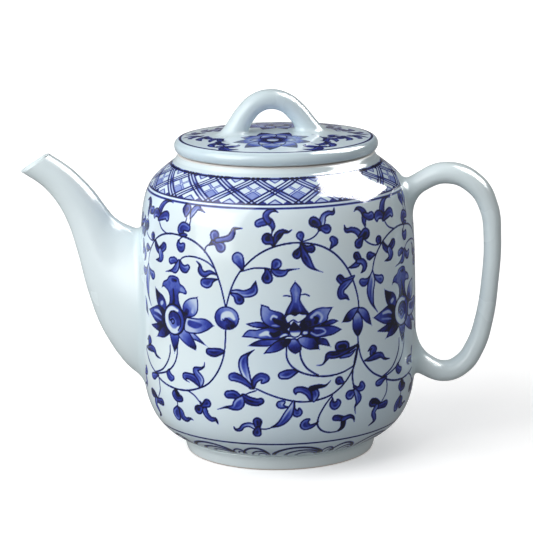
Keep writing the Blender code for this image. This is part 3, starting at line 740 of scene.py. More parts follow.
def side_pigment(sheet, u, v):
    """Everything painted on the pot's side: scroll, lines, trellis and foot waves.

    The scroll's panels keep their size in front, and are squeezed behind until a whole number goes round."""
    front = (u - PANEL_LEFT) % ROUND + PANEL_LEFT
    seam = PANEL_LEFT + 1.5 * PANEL_PAIR
    squeeze = 2 * PANEL_PAIR / (ROUND - 1.5 * PANEL_PAIR)
    ink = sheet.at(np.where(front < seam, front, seam + (front - seam) * squeeze), v)
    for height, width, pigment in LINES:
        ink = np.maximum(ink, stroke(v - height, width) * pigment)
    ink = np.where(v > TRELLIS_FOOT, np.maximum(ink, trellis(u, v)), ink)
    return np.where(v < WAVES_TOP, foot_waves(u, v), ink)


def lid_lotus(sheet, x0, y0, turn):
    """A lotus seen from above: two rows of petals round a pale heart."""

    def petal(count, k, widths, dark, light, **tones):
        a = turn + math.tau * k / count
        c, s = math.cos(a), math.sin(a)
        outline = [*widths, *((r, -w) for r, w in widths[-2::-1])]
        placed = [(x0 + c * r - s * w, y0 + s * r + c * w) for r, w in outline]
        shape(sheet, placed, (x0 + c * dark, y0 + s * dark), (x0 + c * light, y0 + s * light), **tones)

    for k in (4, 5, 3, 6, 2, 7, 1, 8, 0):
        petal(9, k, ((5, 2.4), (9, 4.2), (13, 2.6), (16.4, 0), (16.4, 0)), 16, 8, tone=(0.98, 0.3))
    for k in range(6):
        petal(6, k + 0.5, ((1, 1.2), (4.6, 3.1), (7.6, 2.1), (9.6, 0), (9.6, 0)), 3, 8, tone=(0.9, 0.1))
    shape(sheet, oval(x0, y0, 2.9, 2.9), (x0, y0 + 2), (x0, y0 - 1), tone=(0.4, 0.04))


def lid_sheet():
    """Two lotuses on the lid, with sprays of leaves between them."""
    sheet = Sheet(-LID_REACH, -LID_REACH, 2 * LID_REACH, 2 * LID_REACH)
    for turn in (0, math.pi):
        c, s = math.cos(turn), math.sin(turn)
        for side in (-1, 1):

            def put(*points):
                placed = [(x * side, y, *rest) for x, y, *rest in points]
                return [(c * x - s * y, s * x + c * y, *rest) for x, y, *rest in placed]

            line(sheet, put((14, -6), (19, -11), (21.4, -19), (19, -28)), 0.7)
            line(sheet, put((19.6, -12), (26, -9.4), (32, -5)), 0.7)
            for x, y, heading, size in LID_SPRIGS:
                ahead = size * math.cos(math.radians(heading))
                aside = size * math.sin(math.radians(heading))
                for knots in SPRIG:
                    spun = [(a * ahead - b * aside, a * aside + b * ahead, w * size) for a, b, w in knots]
                    placed = put(*((x + a, y + b, w) for a, b, w in spun))
                    leaf(sheet, *placed, tone=(0.88, 0.62), pale=0.4)
        lid_lotus(sheet, s * LID_LOTUS_REACH, -c * LID_LOTUS_REACH, turn - math.pi / 2)
    return sheet


# ---- Shapes

MM = 0.001
FINE = 0.3 * MM
AXIS_X = sum(corner.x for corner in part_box("pot_wall")) / 2
BASE_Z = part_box("pot_wall")[0].z
SHOULDER_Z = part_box("pot_wall")[1].z
NECK_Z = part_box("neck_ring")[1].z
LID_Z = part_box("lid_plate")[0].z
CROWN_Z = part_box("lid_plate")[1].z
BODY_RADIUS = BELLY_MM * MM
BELLY_Z = 0.053
WALL = 0.0035
MOUTH_RADIUS = 0.038
BASE_CURVE = ((0.041, BASE_Z), (0.059, 0.014), (BODY_RADIUS, 0.033), (BODY_RADIUS, BELLY_Z))
SHOULDER_CURVE = ((BODY_RADIUS, BELLY_Z), (BODY_RADIUS, 0.1147), (0.056, 0.112), (0.043, SHOULDER_Z))
LID_EDGE_RADIUS, LID_EDGE_Z = 0.0403, 0.1317


def bezier(controls, count):
    """Points along a Bezier curve of any degree, or along a row of them."""
    rows = [np.array(p, float) for p in controls]
    t = np.linspace(0, 1, count).reshape(-1, *[1] * rows[0].ndim)
    while len(rows) > 1:
        rows = [a + (b - a) * t for a, b in zip(rows, rows[1:])]
    return rows[0]


def run_of(points):
    """How far along a polyline each of its points is."""
    return np.concatenate([[0], np.cumsum(np.linalg.norm(np.diff(points, axis=0), axis=1))])


def evenly(points, step):
    """The points of a polyline, set a step apart."""
    run = run_of(points)
    at = np.linspace(0, run[-1], max(round(run[-1] / step), 1) + 1)
    return np.stack([np.interp(at, run, column) for column in points.T], -1)


def moved_out(points, distance):
    """An outline that runs up the outer side, moved outwards."""
    along = np.gradient(points, axis=0)
    along /= np.linalg.norm(along, axis=1)[:, None]
    return points + np.stack([along[:, 1], -along[:, 0]], -1) * distance


OUTER = evenly(np.vstack([bezier(BASE_CURVE, 200), bezier(SHOULDER_CURVE, 300)[1:]]), FINE)
OUTER_RUN = run_of(OUTER) / MM


def from_axis(points):
    """How far points are from the pot's upright axis."""
    return np.hypot(points[..., 0] - AXIS_X, points[..., 1])


def side_radius(height):
    """The pot's outer radius at a height."""
    return np.interp(height, OUTER[:, 1], OUTER[:, 0])


def lid_height(radius):
    """The lid's domed top."""
    return LID_EDGE_Z + (CROWN_Z - LID_EDGE_Z) * (1 - (radius / LID_EDGE_RADIUS) ** 2)


def turned_rings(outline, sides):
    """Rings of points about the pot's axis, from the front towards the handle."""
    angle = math.tau * np.arange(sides) / sides
    radius, height = np.asarray(outline, float).T
    return np.stack([
        AXIS_X + radius[:, None] * np.sin(angle),
        -radius[:, None] * np.cos(angle),
        np.broadcast_to(height[:, None], (len(radius), sides)),
    ], -1)


def added(name, data):
    """A new object in the scene."""
    obj = bpy.data.objects.new(name, data)
    bpy.context.scene.collection.objects.link(obj)
    return obj


def built(name, bm):
    """A new object from a bmesh, which is freed."""
    mesh = bpy.data.meshes.new(name)
    bm.to_mesh(mesh)
    bm.free()
    return added(name, mesh)


def solid(name, rings, closed=False, run=None, folds=1):
    """A mesh through rings of points: capped with a fan at each end, or closed on itself.

    Its UVs are the rings' own grid, cut into folds laid one above another. run gives each ring's share."""
    rings = np.asarray(rings, float)
    count, sides = rings.shape[:2]
    points = rings.reshape(-1, 3)
    index = np.arange(count * sides).reshape(count, sides)
    if closed:
        index = np.vstack([index, index[:1]])
    low, high = index[:-1], index[1:]
    quads = np.stack([low, np.roll(low, -1, 1), np.roll(high, -1, 1), high], -1).reshape(-1, 4)
    column = np.tile(np.arange(sides), len(low))
    row = np.repeat(np.arange(len(low)), sides)
    share = np.linspace(0, 1, len(index)) if run is None else np.asarray(run, float)
    fold = column * folds // sides
    left, right = column * folds / sides - fold, (column + 1) * folds / sides - fold
    below, above = (share[row] + fold) / folds, (share[row + 1] + fold) / folds
    corners = [(left, below), (right, below), (right, above), (left, above)]
    uvs = np.stack([np.stack(c, -1) for c in corners], 1).reshape(-1, 2)
    faces = quads.tolist()
    if not closed:
        points = np.vstack([points, rings[0].mean(0), rings[-1].mean(0)])
        for ring, pole, order, level in ((index[0], -2, 1, 0), (index[-1], -1, -1, 1)):
            fan = np.stack([ring, np.full(sides, len(points) + pole), np.roll(ring, -1)], -1)
            faces += fan[:, ::order].tolist()
            uvs = np.vstack([uvs, np.tile([[0.5, level]], (3 * sides, 1))])
    mesh = bpy.data.meshes.new(name)
    mesh.from_pydata(points, [], faces)
    layer = mesh.uv_layers.new(name="OFBake")
    layer.uv.foreach_set("vector", uvs.astype(np.float32).ravel())
    if signed_volume(points, quads) < 0:
        mesh.flip_normals()
    mesh.shade_smooth()
    return added(name, mesh)


def signed_volume(points, quads):
    """Six times the volume the quads enclose, below 0 where they face inwards."""
    a, b, c, d = (points[quads[:, k]] - points.mean(0) for k in range(4))
    return float((np.cross(a, b) * c).sum() + (np.cross(a, c) * d).sum())


def attribute(obj, name, values):
    """A number for each point, which a material reads by name."""
    layer = obj.data.attributes.new(name, "FLOAT", "POINT")
    layer.data.foreach_set("value", np.asarray(values, np.float32).ravel())


def points_of(obj):
    """A mesh's points, a row of numbers each."""
    co = np.zeros(len(obj.data.vertices) * 3, np.float32)
    obj.data.vertices.foreach_get("co", co)
    return co.reshape(-1, 3).astype(float)


# ---- Turned pieces

SIDES, LID_SIDES, PLAIN_SIDES = 1200, 720, 240
PAINTED_SHARE = 0.9
STRAINER_ROWS = (2, 3, 2, 3, 2)
STRAINER_Z, HOLE_PITCH, HOLE_RADIUS = 0.058, 0.008, 0.0025
PIN_SIDES, PIN_LENGTH = 24, 0.02
ROOT_GAP, ROOT_BLUR = 1.1, 0.5
LAP = 0.00004
RUBBED = 0.6
UNDER_SHARE = 0.12
COLLAR_OUTER, COLLAR_INNER, COLLAR_LAP = 0.0366, 0.0336, 0.0004


def clear_of(edge, points):
    """0 where the painting stops short of a root, 1 beyond."""
    middle = edge.mean(0)
    reach = np.linalg.norm(edge - middle, axis=1)
    away = np.linalg.norm(points - middle, axis=1)
    near = away < reach.max() + 0.006
    gap = np.full(int(near.sum()), 1.0)
    for point in evenly(np.vstack([edge, edge[:1]]), 0.0006):
        gap = np.minimum(gap, ((points[near] - point) ** 2).sum(1))
    cover = np.ones(len(points))
    cover[near] = np.clip((np.sqrt(gap) / MM - ROOT_GAP) / ROOT_BLUR, 0, 1) * (away[near] >= reach.min())
    return cover


def pot_wall(roots):
    """The painted pot, with its floor and mouth, and the strainer's holes behind the spout."""
    inner = moved_out(OUTER, -WALL)[::8]
    inner = inner[inner[:, 1] < SHOULDER_Z - WALL][::-1]
    lip = bezier(((MOUTH_RADIUS, SHOULDER_Z), (MOUTH_RADIUS, SHOULDER_Z - WALL), inner[0]), 7)
    under = [(radius, BASE_Z) for radius in (0.004, 0.02, 0.036, 0.0405)]
    floor = [(radius, inner[-1, 1]) for radius in (0.036, 0.02, 0.004)]
    outline = np.vstack([under, OUTER, lip[:-1], inner, floor])
    painted_run = np.clip((np.arange(len(outline)) - len(under)) / (len(OUTER) - 1), 0, 1)
    run = PAINTED_SHARE * painted_run + (1 - PAINTED_SHARE) * np.linspace(0, 1, len(outline))
    wall = solid("painted_pot", turned_rings(outline, SIDES), run=run, folds=2)
    pierce(wall)
    points = points_of(wall)
    height = points[:, 2]
    u = np.arctan2(points[:, 0] - AXIS_X, -points[:, 1]) * BELLY_MM
    v = np.interp(height, OUTER[:, 1], OUTER_RUN)
    outside = np.abs(from_axis(points) - side_radius(height)) < WALL / 3
    ink = side_pigment(scroll_sheet(OUTER_RUN[-1]), u, v)
    for root in roots:
        ink *= clear_of(root, points)
    attribute(wall, "pigment", np.where(outside, ink, 0))
    # Painted shade, with some real glaze pooling: darker, bluer glaze in the hollow just above the foot.
    attribute(wall, "pool_and_shade", np.exp(-(((v - 3) / 5) ** 2)))
    return wall


def pierce(wall):
    """Cuts the strainer's holes, in offset rows, through the wall behind the spout."""
    bm = bmesh.new()
    for row, holes in enumerate(STRAINER_ROWS):
        height = STRAINER_Z + (row - (len(STRAINER_ROWS) - 1) / 2) * HOLE_PITCH
        for k in range(holes):
            at = Vector((AXIS_X - BODY_RADIUS, (k - (holes - 1) / 2) * HOLE_PITCH, height))
            bmesh.ops.create_cone(
                bm, cap_ends=True, segments=PIN_SIDES, radius1=HOLE_RADIUS, radius2=HOLE_RADIUS,
                depth=PIN_LENGTH, matrix=Matrix.Translation(at) @ Matrix.Rotation(math.pi / 2, 4, "Y"),
            )
    pins = built("pins", bm)
    cut = wall.modifiers.new("pierce", "BOOLEAN")
    cut.solver = "MANIFOLD"
    cut.object = pins
    bpy.context.view_layer.update()
    whole = wall.data
    wall.data = bpy.data.meshes.new_from_object(wall.evaluated_get(bpy.context.evaluated_depsgraph_get()))
    wall.modifiers.clear()
    bpy.data.meshes.remove(whole)
    bpy.data.objects.remove(pins)


def neck_ring():
    """The low gallery that the lid sits on, with its top edge rubbed half bare."""
    low = SHOULDER_Z - LAP
    side = ((0.043, low), (0.0418, SHOULDER_Z + 0.0006), (0.0412, NECK_Z - 0.001), (0.0402, NECK_Z - 0.0001))
    top = [(0.0398, NECK_Z), (0.0386, NECK_Z), (0.0381, NECK_Z - 0.0003), (MOUTH_RADIUS, NECK_Z - 0.0008)]
    outline = [*bezier(side, 12), *top, (MOUTH_RADIUS, low)]
    ring = solid("neck", turned_rings(outline, PLAIN_SIDES), closed=True)
    attribute(ring, "pool_and_shade", np.repeat([1.0] * 5 + [0.4] * 7 + [0.0] * 5, PLAIN_SIDES))
    attribute(ring, "bare", RUBBED * np.clip((points_of(ring)[:, 2] - NECK_Z + 0.0009) / 0.0005, 0, 1))
    return ring


def foot_ring():
    """The foot, glazed outside, with its bare resting edge wiped clean."""
    outline = [
        (0.0339, BASE_Z + 0.0001), (0.0348, 0.0012), (0.0352, 0.0003), (0.0358, 0), (0.0387, 0),
        (0.0392, 0.0002), (0.0395, 0.0009), (0.0398, 0.002), (0.0403, 0.004), (0.0408, 0.0056),
        (0.0412, BASE_Z + 0.0001),
    ]
    ring = solid("foot", turned_rings(outline, PLAIN_SIDES), closed=True)
    heights = points_of(ring)[:, 2] / MM
    # Darker, bluer glaze towards the top, where the foot meets the base: glaze pooling in the joint and
    # painted shade under the belly.
    attribute(ring, "pool_and_shade", np.clip((heights - 4.2) / 2, 0, 1) * 0.8)
    attribute(ring, "bare", np.clip((0.7 - heights) / 0.5, 0, 1))
    return ring


def lid_plate(roots):
    """The lid's disc: its painted dome, its rolled rim and its shallow underside, half bare at the edge."""
    radii = np.concatenate([np.linspace(0.0006, 0.0396, 131), [0.0400, LID_EDGE_RADIUS]])
    dome = np.stack([radii, lid_height(radii)], -1)[::-1]
    rim = bezier(((0.0402, LID_Z), (0.0426, LID_Z + 0.0006), (0.0430, LID_Z + 0.0044), dome[0]), 14)
    hollow = ((0.001, 0.0038), (0.016, 0.0033), (0.0300, 0.0023), (0.0318, 0.0017), (0.0334, 0))
    under = np.vstack([[(radius, LID_Z + depth) for radius, depth in hollow], rim])
    share = [np.linspace(0, UNDER_SHARE, len(under)), np.linspace(UNDER_SHARE, 1, len(dome))[1:]]
    rings = turned_rings(np.vstack([under, dome[1:]]), LID_SIDES)
    plate = solid("painted_lid", rings, run=np.concatenate(share))
    points = points_of(plate)
    radius, height = from_axis(points) / MM, points[:, 2]
    top = height > LID_EDGE_Z - 0.0004
    ink = lid_sheet().at((points[:, 0] - AXIS_X) / MM, points[:, 1] / MM)
    for root in roots:
        ink *= clear_of(root, points)
    ink = np.maximum(ink, stroke(radius - LID_LINE_RADIUS, LID_LINE) * 0.95)
    rolled = np.exp(-(((radius - 41.2) / 0.8) ** 2)) * (height > LID_Z + 0.004)
    attribute(plate, "pigment", np.where(top, ink, 0))
    attribute(plate, "bare", RUBBED * np.clip((LID_Z + 0.0005 - height) / 0.0004, 0, 1))
    # Darker, bluer glaze along the top of the rolled rim and over the whole underside.
    attribute(plate, "pool_and_shade", rolled * 0.5 + 0.8 * ~top)
    return plate


def lid_collar():
    """The ring beneath the lid that keeps it in the mouth, with its lower edge wiped bare."""
    low, high = (corner.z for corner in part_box("lid_collar"))
    outline = [
        (COLLAR_INNER, high + COLLAR_LAP), (COLLAR_INNER, low + 0.0012),
        (COLLAR_INNER + 0.0003, low + 0.0004), (COLLAR_INNER + 0.001, low),
        (COLLAR_OUTER - 0.001, low), (COLLAR_OUTER - 0.0003, low + 0.0004),
        (COLLAR_OUTER, low + 0.0012), (COLLAR_OUTER, high + COLLAR_LAP),
    ]
    ring = solid("collar", turned_rings(outline, PLAIN_SIDES), closed=True)
    attribute(ring, "bare", np.clip((low + 0.0008 - points_of(ring)[:, 2]) / 0.0005, 0, 1))
    return ring


# ---- Limbs: spout, handle and the lid's loop

# Spout: at each station its lower and upper edges as (reach, height), and its half width
SPOUT_STATIONS = (
    (0.0500, 0.0225, 0.0500, 0.0885, 0.0180),
    (0.0575, 0.0290, 0.0573, 0.0921, 0.0166),
    (0.0660, 0.0368, 0.0615, 0.0940, 0.0145),
    (0.0748, 0.0512, 0.0652, 0.0957, 0.0121),
    (0.0802, 0.0672, 0.0689, 0.0986, 0.0102),
    (0.0837, 0.0822, 0.0723, 0.1031, 0.0087),
    (0.0872, 0.0945, 0.0760, 0.1084, 0.0075),
    (0.0918, 0.1040, 0.0806, 0.1137, 0.0067),
    (0.0982, 0.1116, 0.0868, 0.1195, 0.0061),
    (0.1073, 0.1177, 0.0955, 0.1253, 0.0058),
)
SPOUT_WALL, SPOUT_FILLET = 0.0022, 0.0042
# Handle and loop: points of the middle line as (reach, height), and the strap's swelling there
HANDLE = (
    (0.0480, 0.1040, 1.16), (0.0586, 0.1121, 1.04), (0.0705, 0.1165, 1.12), (0.0820, 0.1118, 1.13),
    (0.0878, 0.1020, 1.02), (0.0893, 0.0900, 0.94), (0.0884, 0.0710, 0.92), (0.0859, 0.0540, 0.97),
    (0.0823, 0.0428, 1.02), (0.0770, 0.0352, 1.05), (0.0698, 0.0321, 1.06), (0.0616, 0.0348, 1.10),
    (0.0490, 0.0450, 1.30),
)
LOOP = (
    (-0.0207, 0.1290, 1.25), (-0.0167, 0.1352, 1.10), (-0.0127, 0.1415, 1.02), (-0.0081, 0.1459, 1.0),
    (-0.0022, 0.1475, 1.0), (0.0038, 0.1460, 1.0), (0.0088, 0.1418, 1.02), (0.0133, 0.1355, 1.12),
    (0.0180, 0.1290, 1.30),
)
# Sections as (thickness, width), and each root's fillet inside and outside the bend
HANDLE_SECTION, HANDLE_FILLETS = (0.0078, 0.0115), ((0.0078, 0.003), (0.0085, 0.0026))
LOOP_SECTION, LOOP_FILLETS = (0.0082, 0.0105), ((0.0028, 0.0028), (0.0028, 0.0028))
# How far each whole strap is darkened towards the deeper glaze; on the loop this is painted shade.
HANDLE_DARKENING, LOOP_SHADE_DARKENING = 0.1, 0.9
LOOP_TURN = math.radians(12)
LIMB_SIDES, LIMB_STEPS = 96, 14
STRAP_ANGLES = math.tau * (np.arange(LIMB_SIDES) + 0.5) / LIMB_SIDES
STRAP_CORNERS = 2 / 2.3
ROUND_HANDLE = 0.39
FILLET_STEPS, BLEND_STEPS = 14, 6
SWEEP_PULL = 0.62
EDGE_LIFT, SUNK = 0.00002, 0.0009


def above_body(points):
    """How far points stand out from the pot's side."""
    return from_axis(points) - side_radius(points[..., 2])


def onto_body(points, lift=0.0):
    """Points moved straight towards or away from the pot's axis, onto its side."""
    scale = (side_radius(points[..., 2]) + lift) / from_axis(points)
    placed = np.array(points)
    placed[..., 0] = AXIS_X + (points[..., 0] - AXIS_X) * scale
    placed[..., 1] = points[..., 1] * scale
    return placed


def above_lid(points):
    """How far points stand above the lid's top."""
    return points[..., 2] - lid_height(from_axis(points))


def onto_lid(points, lift=0.0):
    """Points moved straight up or down onto the lid's top."""
    placed = np.array(points)
    placed[..., 2] = lid_height(from_axis(points)) + lift
    return placed


def rooted(rings, above, onto, fillet):
    """The rings of a limb whose first ring is buried, with its root swept out to meet the surface.

    Returns the new rings, from one sunk under the surface outwards, and the root's edge."""
    rings = np.asarray(rings, float)
    heights = above(rings)
    first = np.argmax(heights > 0, axis=0)
    columns = np.arange(rings.shape[1])
    low, high = rings[first - 1, columns], rings[first, columns]
    part = heights[first - 1, columns] / (heights[first - 1, columns] - heights[first, columns])
    meet = onto(low + (high - low) * part[:, None])
    run = np.zeros(rings.shape[:2])
    run[1:] = np.cumsum(np.linalg.norm(np.diff(rings, axis=0), axis=2), axis=0)
    stop = run[first - 1, columns] + part * (run[first, columns] - run[first - 1, columns]) + fillet
    level = int(np.max(np.argmax(run >= stop, axis=0))) + 1
    upper = []
    for k in columns:
        at = np.linspace(stop[k], run[level + 2, k], BLEND_STEPS)
        upper.append(np.stack([np.interp(at, run[:, k], rings[:, k, axis]) for axis in range(3)], -1))
    upper = np.stack(upper, 1)
    leaving = upper[1] - upper[0]
    leaving /= np.linalg.norm(leaving, axis=1)[:, None]
    along = np.roll(meet, -1, 0) - np.roll(meet, 1, 0)
    outward = np.cross(along, onto(meet, 0.0005) - onto(meet, -0.0005))
    outward *= np.sign((outward * (meet - meet.mean(0))).sum(1))[:, None]
    outward /= np.linalg.norm(outward, axis=1)[:, None]
    width = np.broadcast_to(fillet, (len(meet),))[:, None]
    edge = onto(meet + outward * width, EDGE_LIFT)
    low_pull = onto(meet + outward * width * (1 - SWEEP_PULL), EDGE_LIFT)
    high_pull = upper[0] - leaving * width * SWEEP_PULL
    sweep = bezier((edge, low_pull, high_pull, upper[0]), FILLET_STEPS)
    skirt = onto(meet + outward * (width + 0.0006), -0.00006)
    sunk = onto(meet + outward * (width + 0.0004), -SUNK)
    return np.concatenate([[sunk, skirt], sweep, upper[1:], rings[level + 3 :]]), edge


def pool_at_root(rings, ends=1):
    """How much more glaze lies where a limb's root is hollow, at each point of its rings."""
    row = np.arange(rings)
    near = np.minimum(row, rings - 1 - row) if ends == 2 else row
    return np.repeat(np.exp(-(((near / FILLET_STEPS - 0.45) / 0.5) ** 2)), LIMB_SIDES)


def spout_rings(rows, inset):
    """Elliptical rings between the spout's lower and upper edges."""
    low, high = (
        np.stack([AXIS_X - rows[:, reach], np.zeros(len(rows)), rows[:, reach + 1]], -1) for reach in (0, 2)
    )
    rise = (high - low) / 2
    rise *= 1 - inset / np.linalg.norm(rise, axis=1)[:, None]
    side = np.array([0, 1, 0]) * (rows[:, 4] - inset)[:, None]
    angle = math.tau * np.arange(LIMB_SIDES) / LIMB_SIDES
    around = rise[:, None] * np.cos(angle)[:, None] + side[:, None] * np.sin(angle)[:, None]
    return ((low + high) / 2)[:, None] + around


def spout():
    """The hollow spout, with a rounded lip and its root swept onto the pot, and the root's edge."""
    rows = through(SPOUT_STATIONS, 10)
    outer, edge = rooted(spout_rings(rows, 0), above_body, onto_body, SPOUT_FILLET)
    inner = spout_rings(rows, SPOUT_WALL)
    first = int(np.argmax(above_body(inner).max(axis=1) > -SUNK))
    channel = inner[first:-1]
    deep = above_body(channel) < -SUNK
    channel[deep] = onto_body(channel[deep], -SUNK)
    middle = (outer[-1] + inner[-1]) / 2
    forward = outer[-1].mean(0) - outer[-4].mean(0)
    forward *= SPOUT_WALL / 2 / np.linalg.norm(forward)
    lip = [
        middle + (outer[-1] - middle) * math.cos(angle) + forward * (math.sin(angle) - 1)
        for angle in np.linspace(0, math.pi, 9)
    ]
    rings = np.concatenate([outer[:-1], lip, channel[::-1]])
    piece = solid("pouring_spout", rings, closed=True)
    attribute(piece, "pool_and_shade", pool_at_root(len(rings)))
    return piece, edge


def bent_line(knots, steps):
    """A curve through knots of (reach, height, swelling), as round as they allow."""
    knots = np.array(knots, float)
    legs = np.diff(knots[:, :2], axis=0)
    lengths = np.linalg.norm(legs, axis=1)[:, None]
    unit = legs / lengths
    lean = np.vstack([unit[:1], unit[:-1] + unit[1:], unit[-1:]])
    lean *= ROUND_HANDLE / np.linalg.norm(lean, axis=1)[:, None]
    rows = []
    for k, length in enumerate(lengths):
        start, end = knots[k, :2], knots[k + 1, :2]
        curve = bezier((start, start + lean[k] * length, end - lean[k + 1] * length, end), steps + 1)
        rows.append(curve[: steps + (k == len(legs) - 1)])
    return np.hstack([np.vstack(rows), through(knots, steps)[:, 2:]])


def strap_rings(knots, section, turn=0.0):
    """Soft-edged sections square to a middle line, turned about the pot's axis."""
    rows = bent_line(knots, LIMB_STEPS)
    along = np.gradient(rows[:, :2], axis=0)
    along /= np.linalg.norm(along, axis=1)[:, None]
    deep, side = (
        np.sign(wave) * np.abs(wave) ** STRAP_CORNERS * size / 2 * rows[:, 2, None]
        for wave, size in zip((np.sin(STRAP_ANGLES), np.cos(STRAP_ANGLES)), section)
    )
    reach = rows[:, 0, None] - along[:, 1, None] * deep
    height = rows[:, 1, None] + along[:, 0, None] * deep
    c, s = math.cos(turn), math.sin(turn)
    return np.stack([AXIS_X + c * reach - s * side, s * reach + c * side, height], -1)


def strap(name, rings, above, onto, fillets, darkening):
    """A strap with both its roots swept onto a surface, and the roots' edges."""
    half = len(rings) // 2
    outside = 0.5 + 0.5 * np.sin(STRAP_ANGLES)
    reach = [inner + (outer - inner) * outside for inner, outer in fillets]
    start, start_edge = rooted(rings[:half], above, onto, reach[0])
    end, end_edge = rooted(rings[: half - 1 : -1], above, onto, reach[1])
    whole = np.concatenate([start, end[::-1]])
    piece = solid(name, whole)
    attribute(piece, "pool_and_shade", np.append(np.maximum(pool_at_root(len(whole), ends=2), darkening), [0, 0]))
    return piece, [start_edge, end_edge]


# ---- Materials


def colour(red, green, blue):
    """An sRGB colour out of 255, as Blender's linear one."""
    channels = (c / 255 for c in (red, green, blue))
    return (*(c / 12.92 if c <= 0.04045 else ((c + 0.055) / 1.055) ** 2.4 for c in channels), 1)


GLAZE = colour(222, 235, 238)
GLAZE_COOL = colour(219, 231, 235)
GLAZE_BLUED = colour(209, 228, 241)
# Deeper glaze: real pooling in hollow roots, and painted shade in the hollow above the foot and over the
# lid's loop.
GLAZE_POOLED_AND_SHADED = colour(184, 205, 213)
BISCUIT = colour(208, 192, 182)
# Pigment and its colour
COBALT = (
    (0.22, colour(150, 168, 216)),
    (0.4, colour(84, 104, 190)),
    (0.58, colour(42, 58, 156)),
    (0.77, colour(20, 28, 108)),
    (0.88, colour(6, 10, 44)),
)
POOL_AND_SHADE_COVER = 0.5
WIPED_ROUGHNESS = 0.6
GLAZE_IOR = 1.52


def new_material(name):
    """A new material, its node tree and its shader."""
    material = bpy.data.materials.new(name)
    material.use_nodes = True
    return material, material.node_tree, material.node_tree.nodes["Principled BSDF"]


def feed(tree, socket, value):
    """Sets a socket to a value, or links it to another node's output."""
    if isinstance(value, (int, float, tuple)):
        socket.default_value = value
    else:
        tree.links.new(value, socket)


def node(tree, kind, **inputs):
    """A new node, with values for its inputs."""
    made = tree.nodes.new(kind)
    for name, value in inputs.items():
        made.inputs[name.replace("_", " ")].default_value = value
    return made


def ranged(tree, value, start, end, low, high):
    """A value's stretch from start to end, mapped to run from low to high."""
    made = node(tree, "ShaderNodeMapRange", From_Min=start, From_Max=end, To_Min=low, To_Max=high)
    tree.links.new(value, made.inputs["Value"])
    return made.outputs["Result"]


def noise(tree, scale, detail=2.0):
    """Noise that fills the object's own space."""
    place = tree.nodes.new("ShaderNodeTexCoord")
    made = node(tree, "ShaderNodeTexNoise", Scale=scale, Detail=detail)
    tree.links.new(place.outputs["Object"], made.inputs["Vector"])
    return made.outputs["Fac"]


def mottled(tree, scale, low, high, detail=2.0):
    """Noise, with its middle range stretched between two values."""
    return ranged(tree, noise(tree, scale, detail), 0.3, 0.7, low, high)


def reading(tree, name):
    """A mesh's attribute."""
    made = tree.nodes.new("ShaderNodeAttribute")
    made.attribute_name = name
    return made.outputs["Fac"]


def maths(tree, operation, first, second):
    """Two values brought together by an operation."""
    made = tree.nodes.new("ShaderNodeMath")
    made.operation = operation
    for socket, value in zip(made.inputs, (first, second)):
        feed(tree, socket, value)
    return made.outputs[0]


def mix(tree, share, first, second):
    """Two colours mixed, from the first at share 0 to the second at 1."""
    made = tree.nodes.new("ShaderNodeMix")
    made.data_type = "RGBA"
    for name, value in (("Factor", share), ("A", first), ("B", second)):
        feed(tree, made.inputs[name], value)
    return made.outputs["Result"]


def porcelain(name, rough, painted=False, bare=False):
    """Glossy porcelain: a cool glaze that pools in hollows and carries painted shade where a mesh asks, with
    cobalt under it or bare edges if asked.
    """
    material, tree, shader = new_material(name)
    clay = mix(tree, mottled(tree, 14, 0, 1), GLAZE, GLAZE_BLUED if painted else GLAZE_COOL)
    # Darker, bluer glaze where the mesh asks for it: glaze pooling at the roots, painted shade near the foot
    # and on the loop.
    clay = mix(tree, maths(tree, "MULTIPLY", reading(tree, "pool_and_shade"), POOL_AND_SHADE_COVER), clay, GLAZE_POOLED_AND_SHADED)
    rough = mottled(tree, 60, *rough)
    if painted:
        ink = reading(tree, "pigment")
        heaped = mottled(tree, 620, 0.93, 1.1, detail=4.0)
        washed = mottled(tree, 170, 0.94, 1.08, detail=3.0)
        ink = maths(tree, "MULTIPLY", ink, maths(tree, "MULTIPLY", heaped, washed))
        ramp = tree.nodes.new("ShaderNodeValToRGB")
        while len(ramp.color_ramp.elements) < len(COBALT):
            ramp.color_ramp.elements.new(0.5)
        for element, (at, tone) in zip(ramp.color_ramp.elements, COBALT):
            element.position, element.color = at, tone
        tree.links.new(ink, ramp.inputs["Fac"])
        cover = maths(tree, "MINIMUM", maths(tree, "MULTIPLY", ink, 1 / COBALT[0][0]), 1.0)
        clay = mix(tree, cover, clay, ramp.outputs["Color"])
    if bare:
        wiped = reading(tree, "bare")
        clay = mix(tree, wiped, clay, BISCUIT)
        rough = maths(tree, "ADD", rough, maths(tree, "MULTIPLY", wiped, WIPED_ROUGHNESS))
    bump = node(tree, "ShaderNodeBump", Strength=0.35, Distance=0.0002)
    waves = maths(tree, "ADD", noise(tree, 45, 1.0), maths(tree, "MULTIPLY", noise(tree, 300, 1.0), 0.02))
    tree.links.new(waves, bump.inputs["Height"])
    tree.links.new(bump.outputs["Normal"], shader.inputs["Normal"])
    tree.links.new(clay, shader.inputs["Base Color"])
    tree.links.new(rough, shader.inputs["Roughness"])
    shader.inputs["IOR"].default_value = GLAZE_IOR
    return material


# ---- Pieces on their bodies

plain = porcelain("plain_porcelain", (0.2, 0.28))
painted = porcelain("painted_porcelain", (0.07, 0.11), painted=True)
painted_lid = porcelain("painted_lid_porcelain", (0.09, 0.14), painted=True, bare=True)
wiped = porcelain("foot_porcelain", (0.12, 0.18), bare=True)

spout_piece, spout_root = spout()
handle_piece, handle_roots = strap(
    "strap_handle", strap_rings(HANDLE, HANDLE_SECTION), above_body, onto_body, HANDLE_FILLETS, HANDLE_DARKENING
)
loop_piece, loop_roots = strap(
    "loop_knob", strap_rings(LOOP, LOOP_SECTION, LOOP_TURN), above_lid, onto_lid, LOOP_FILLETS, LOOP_SHADE_DARKENING
)

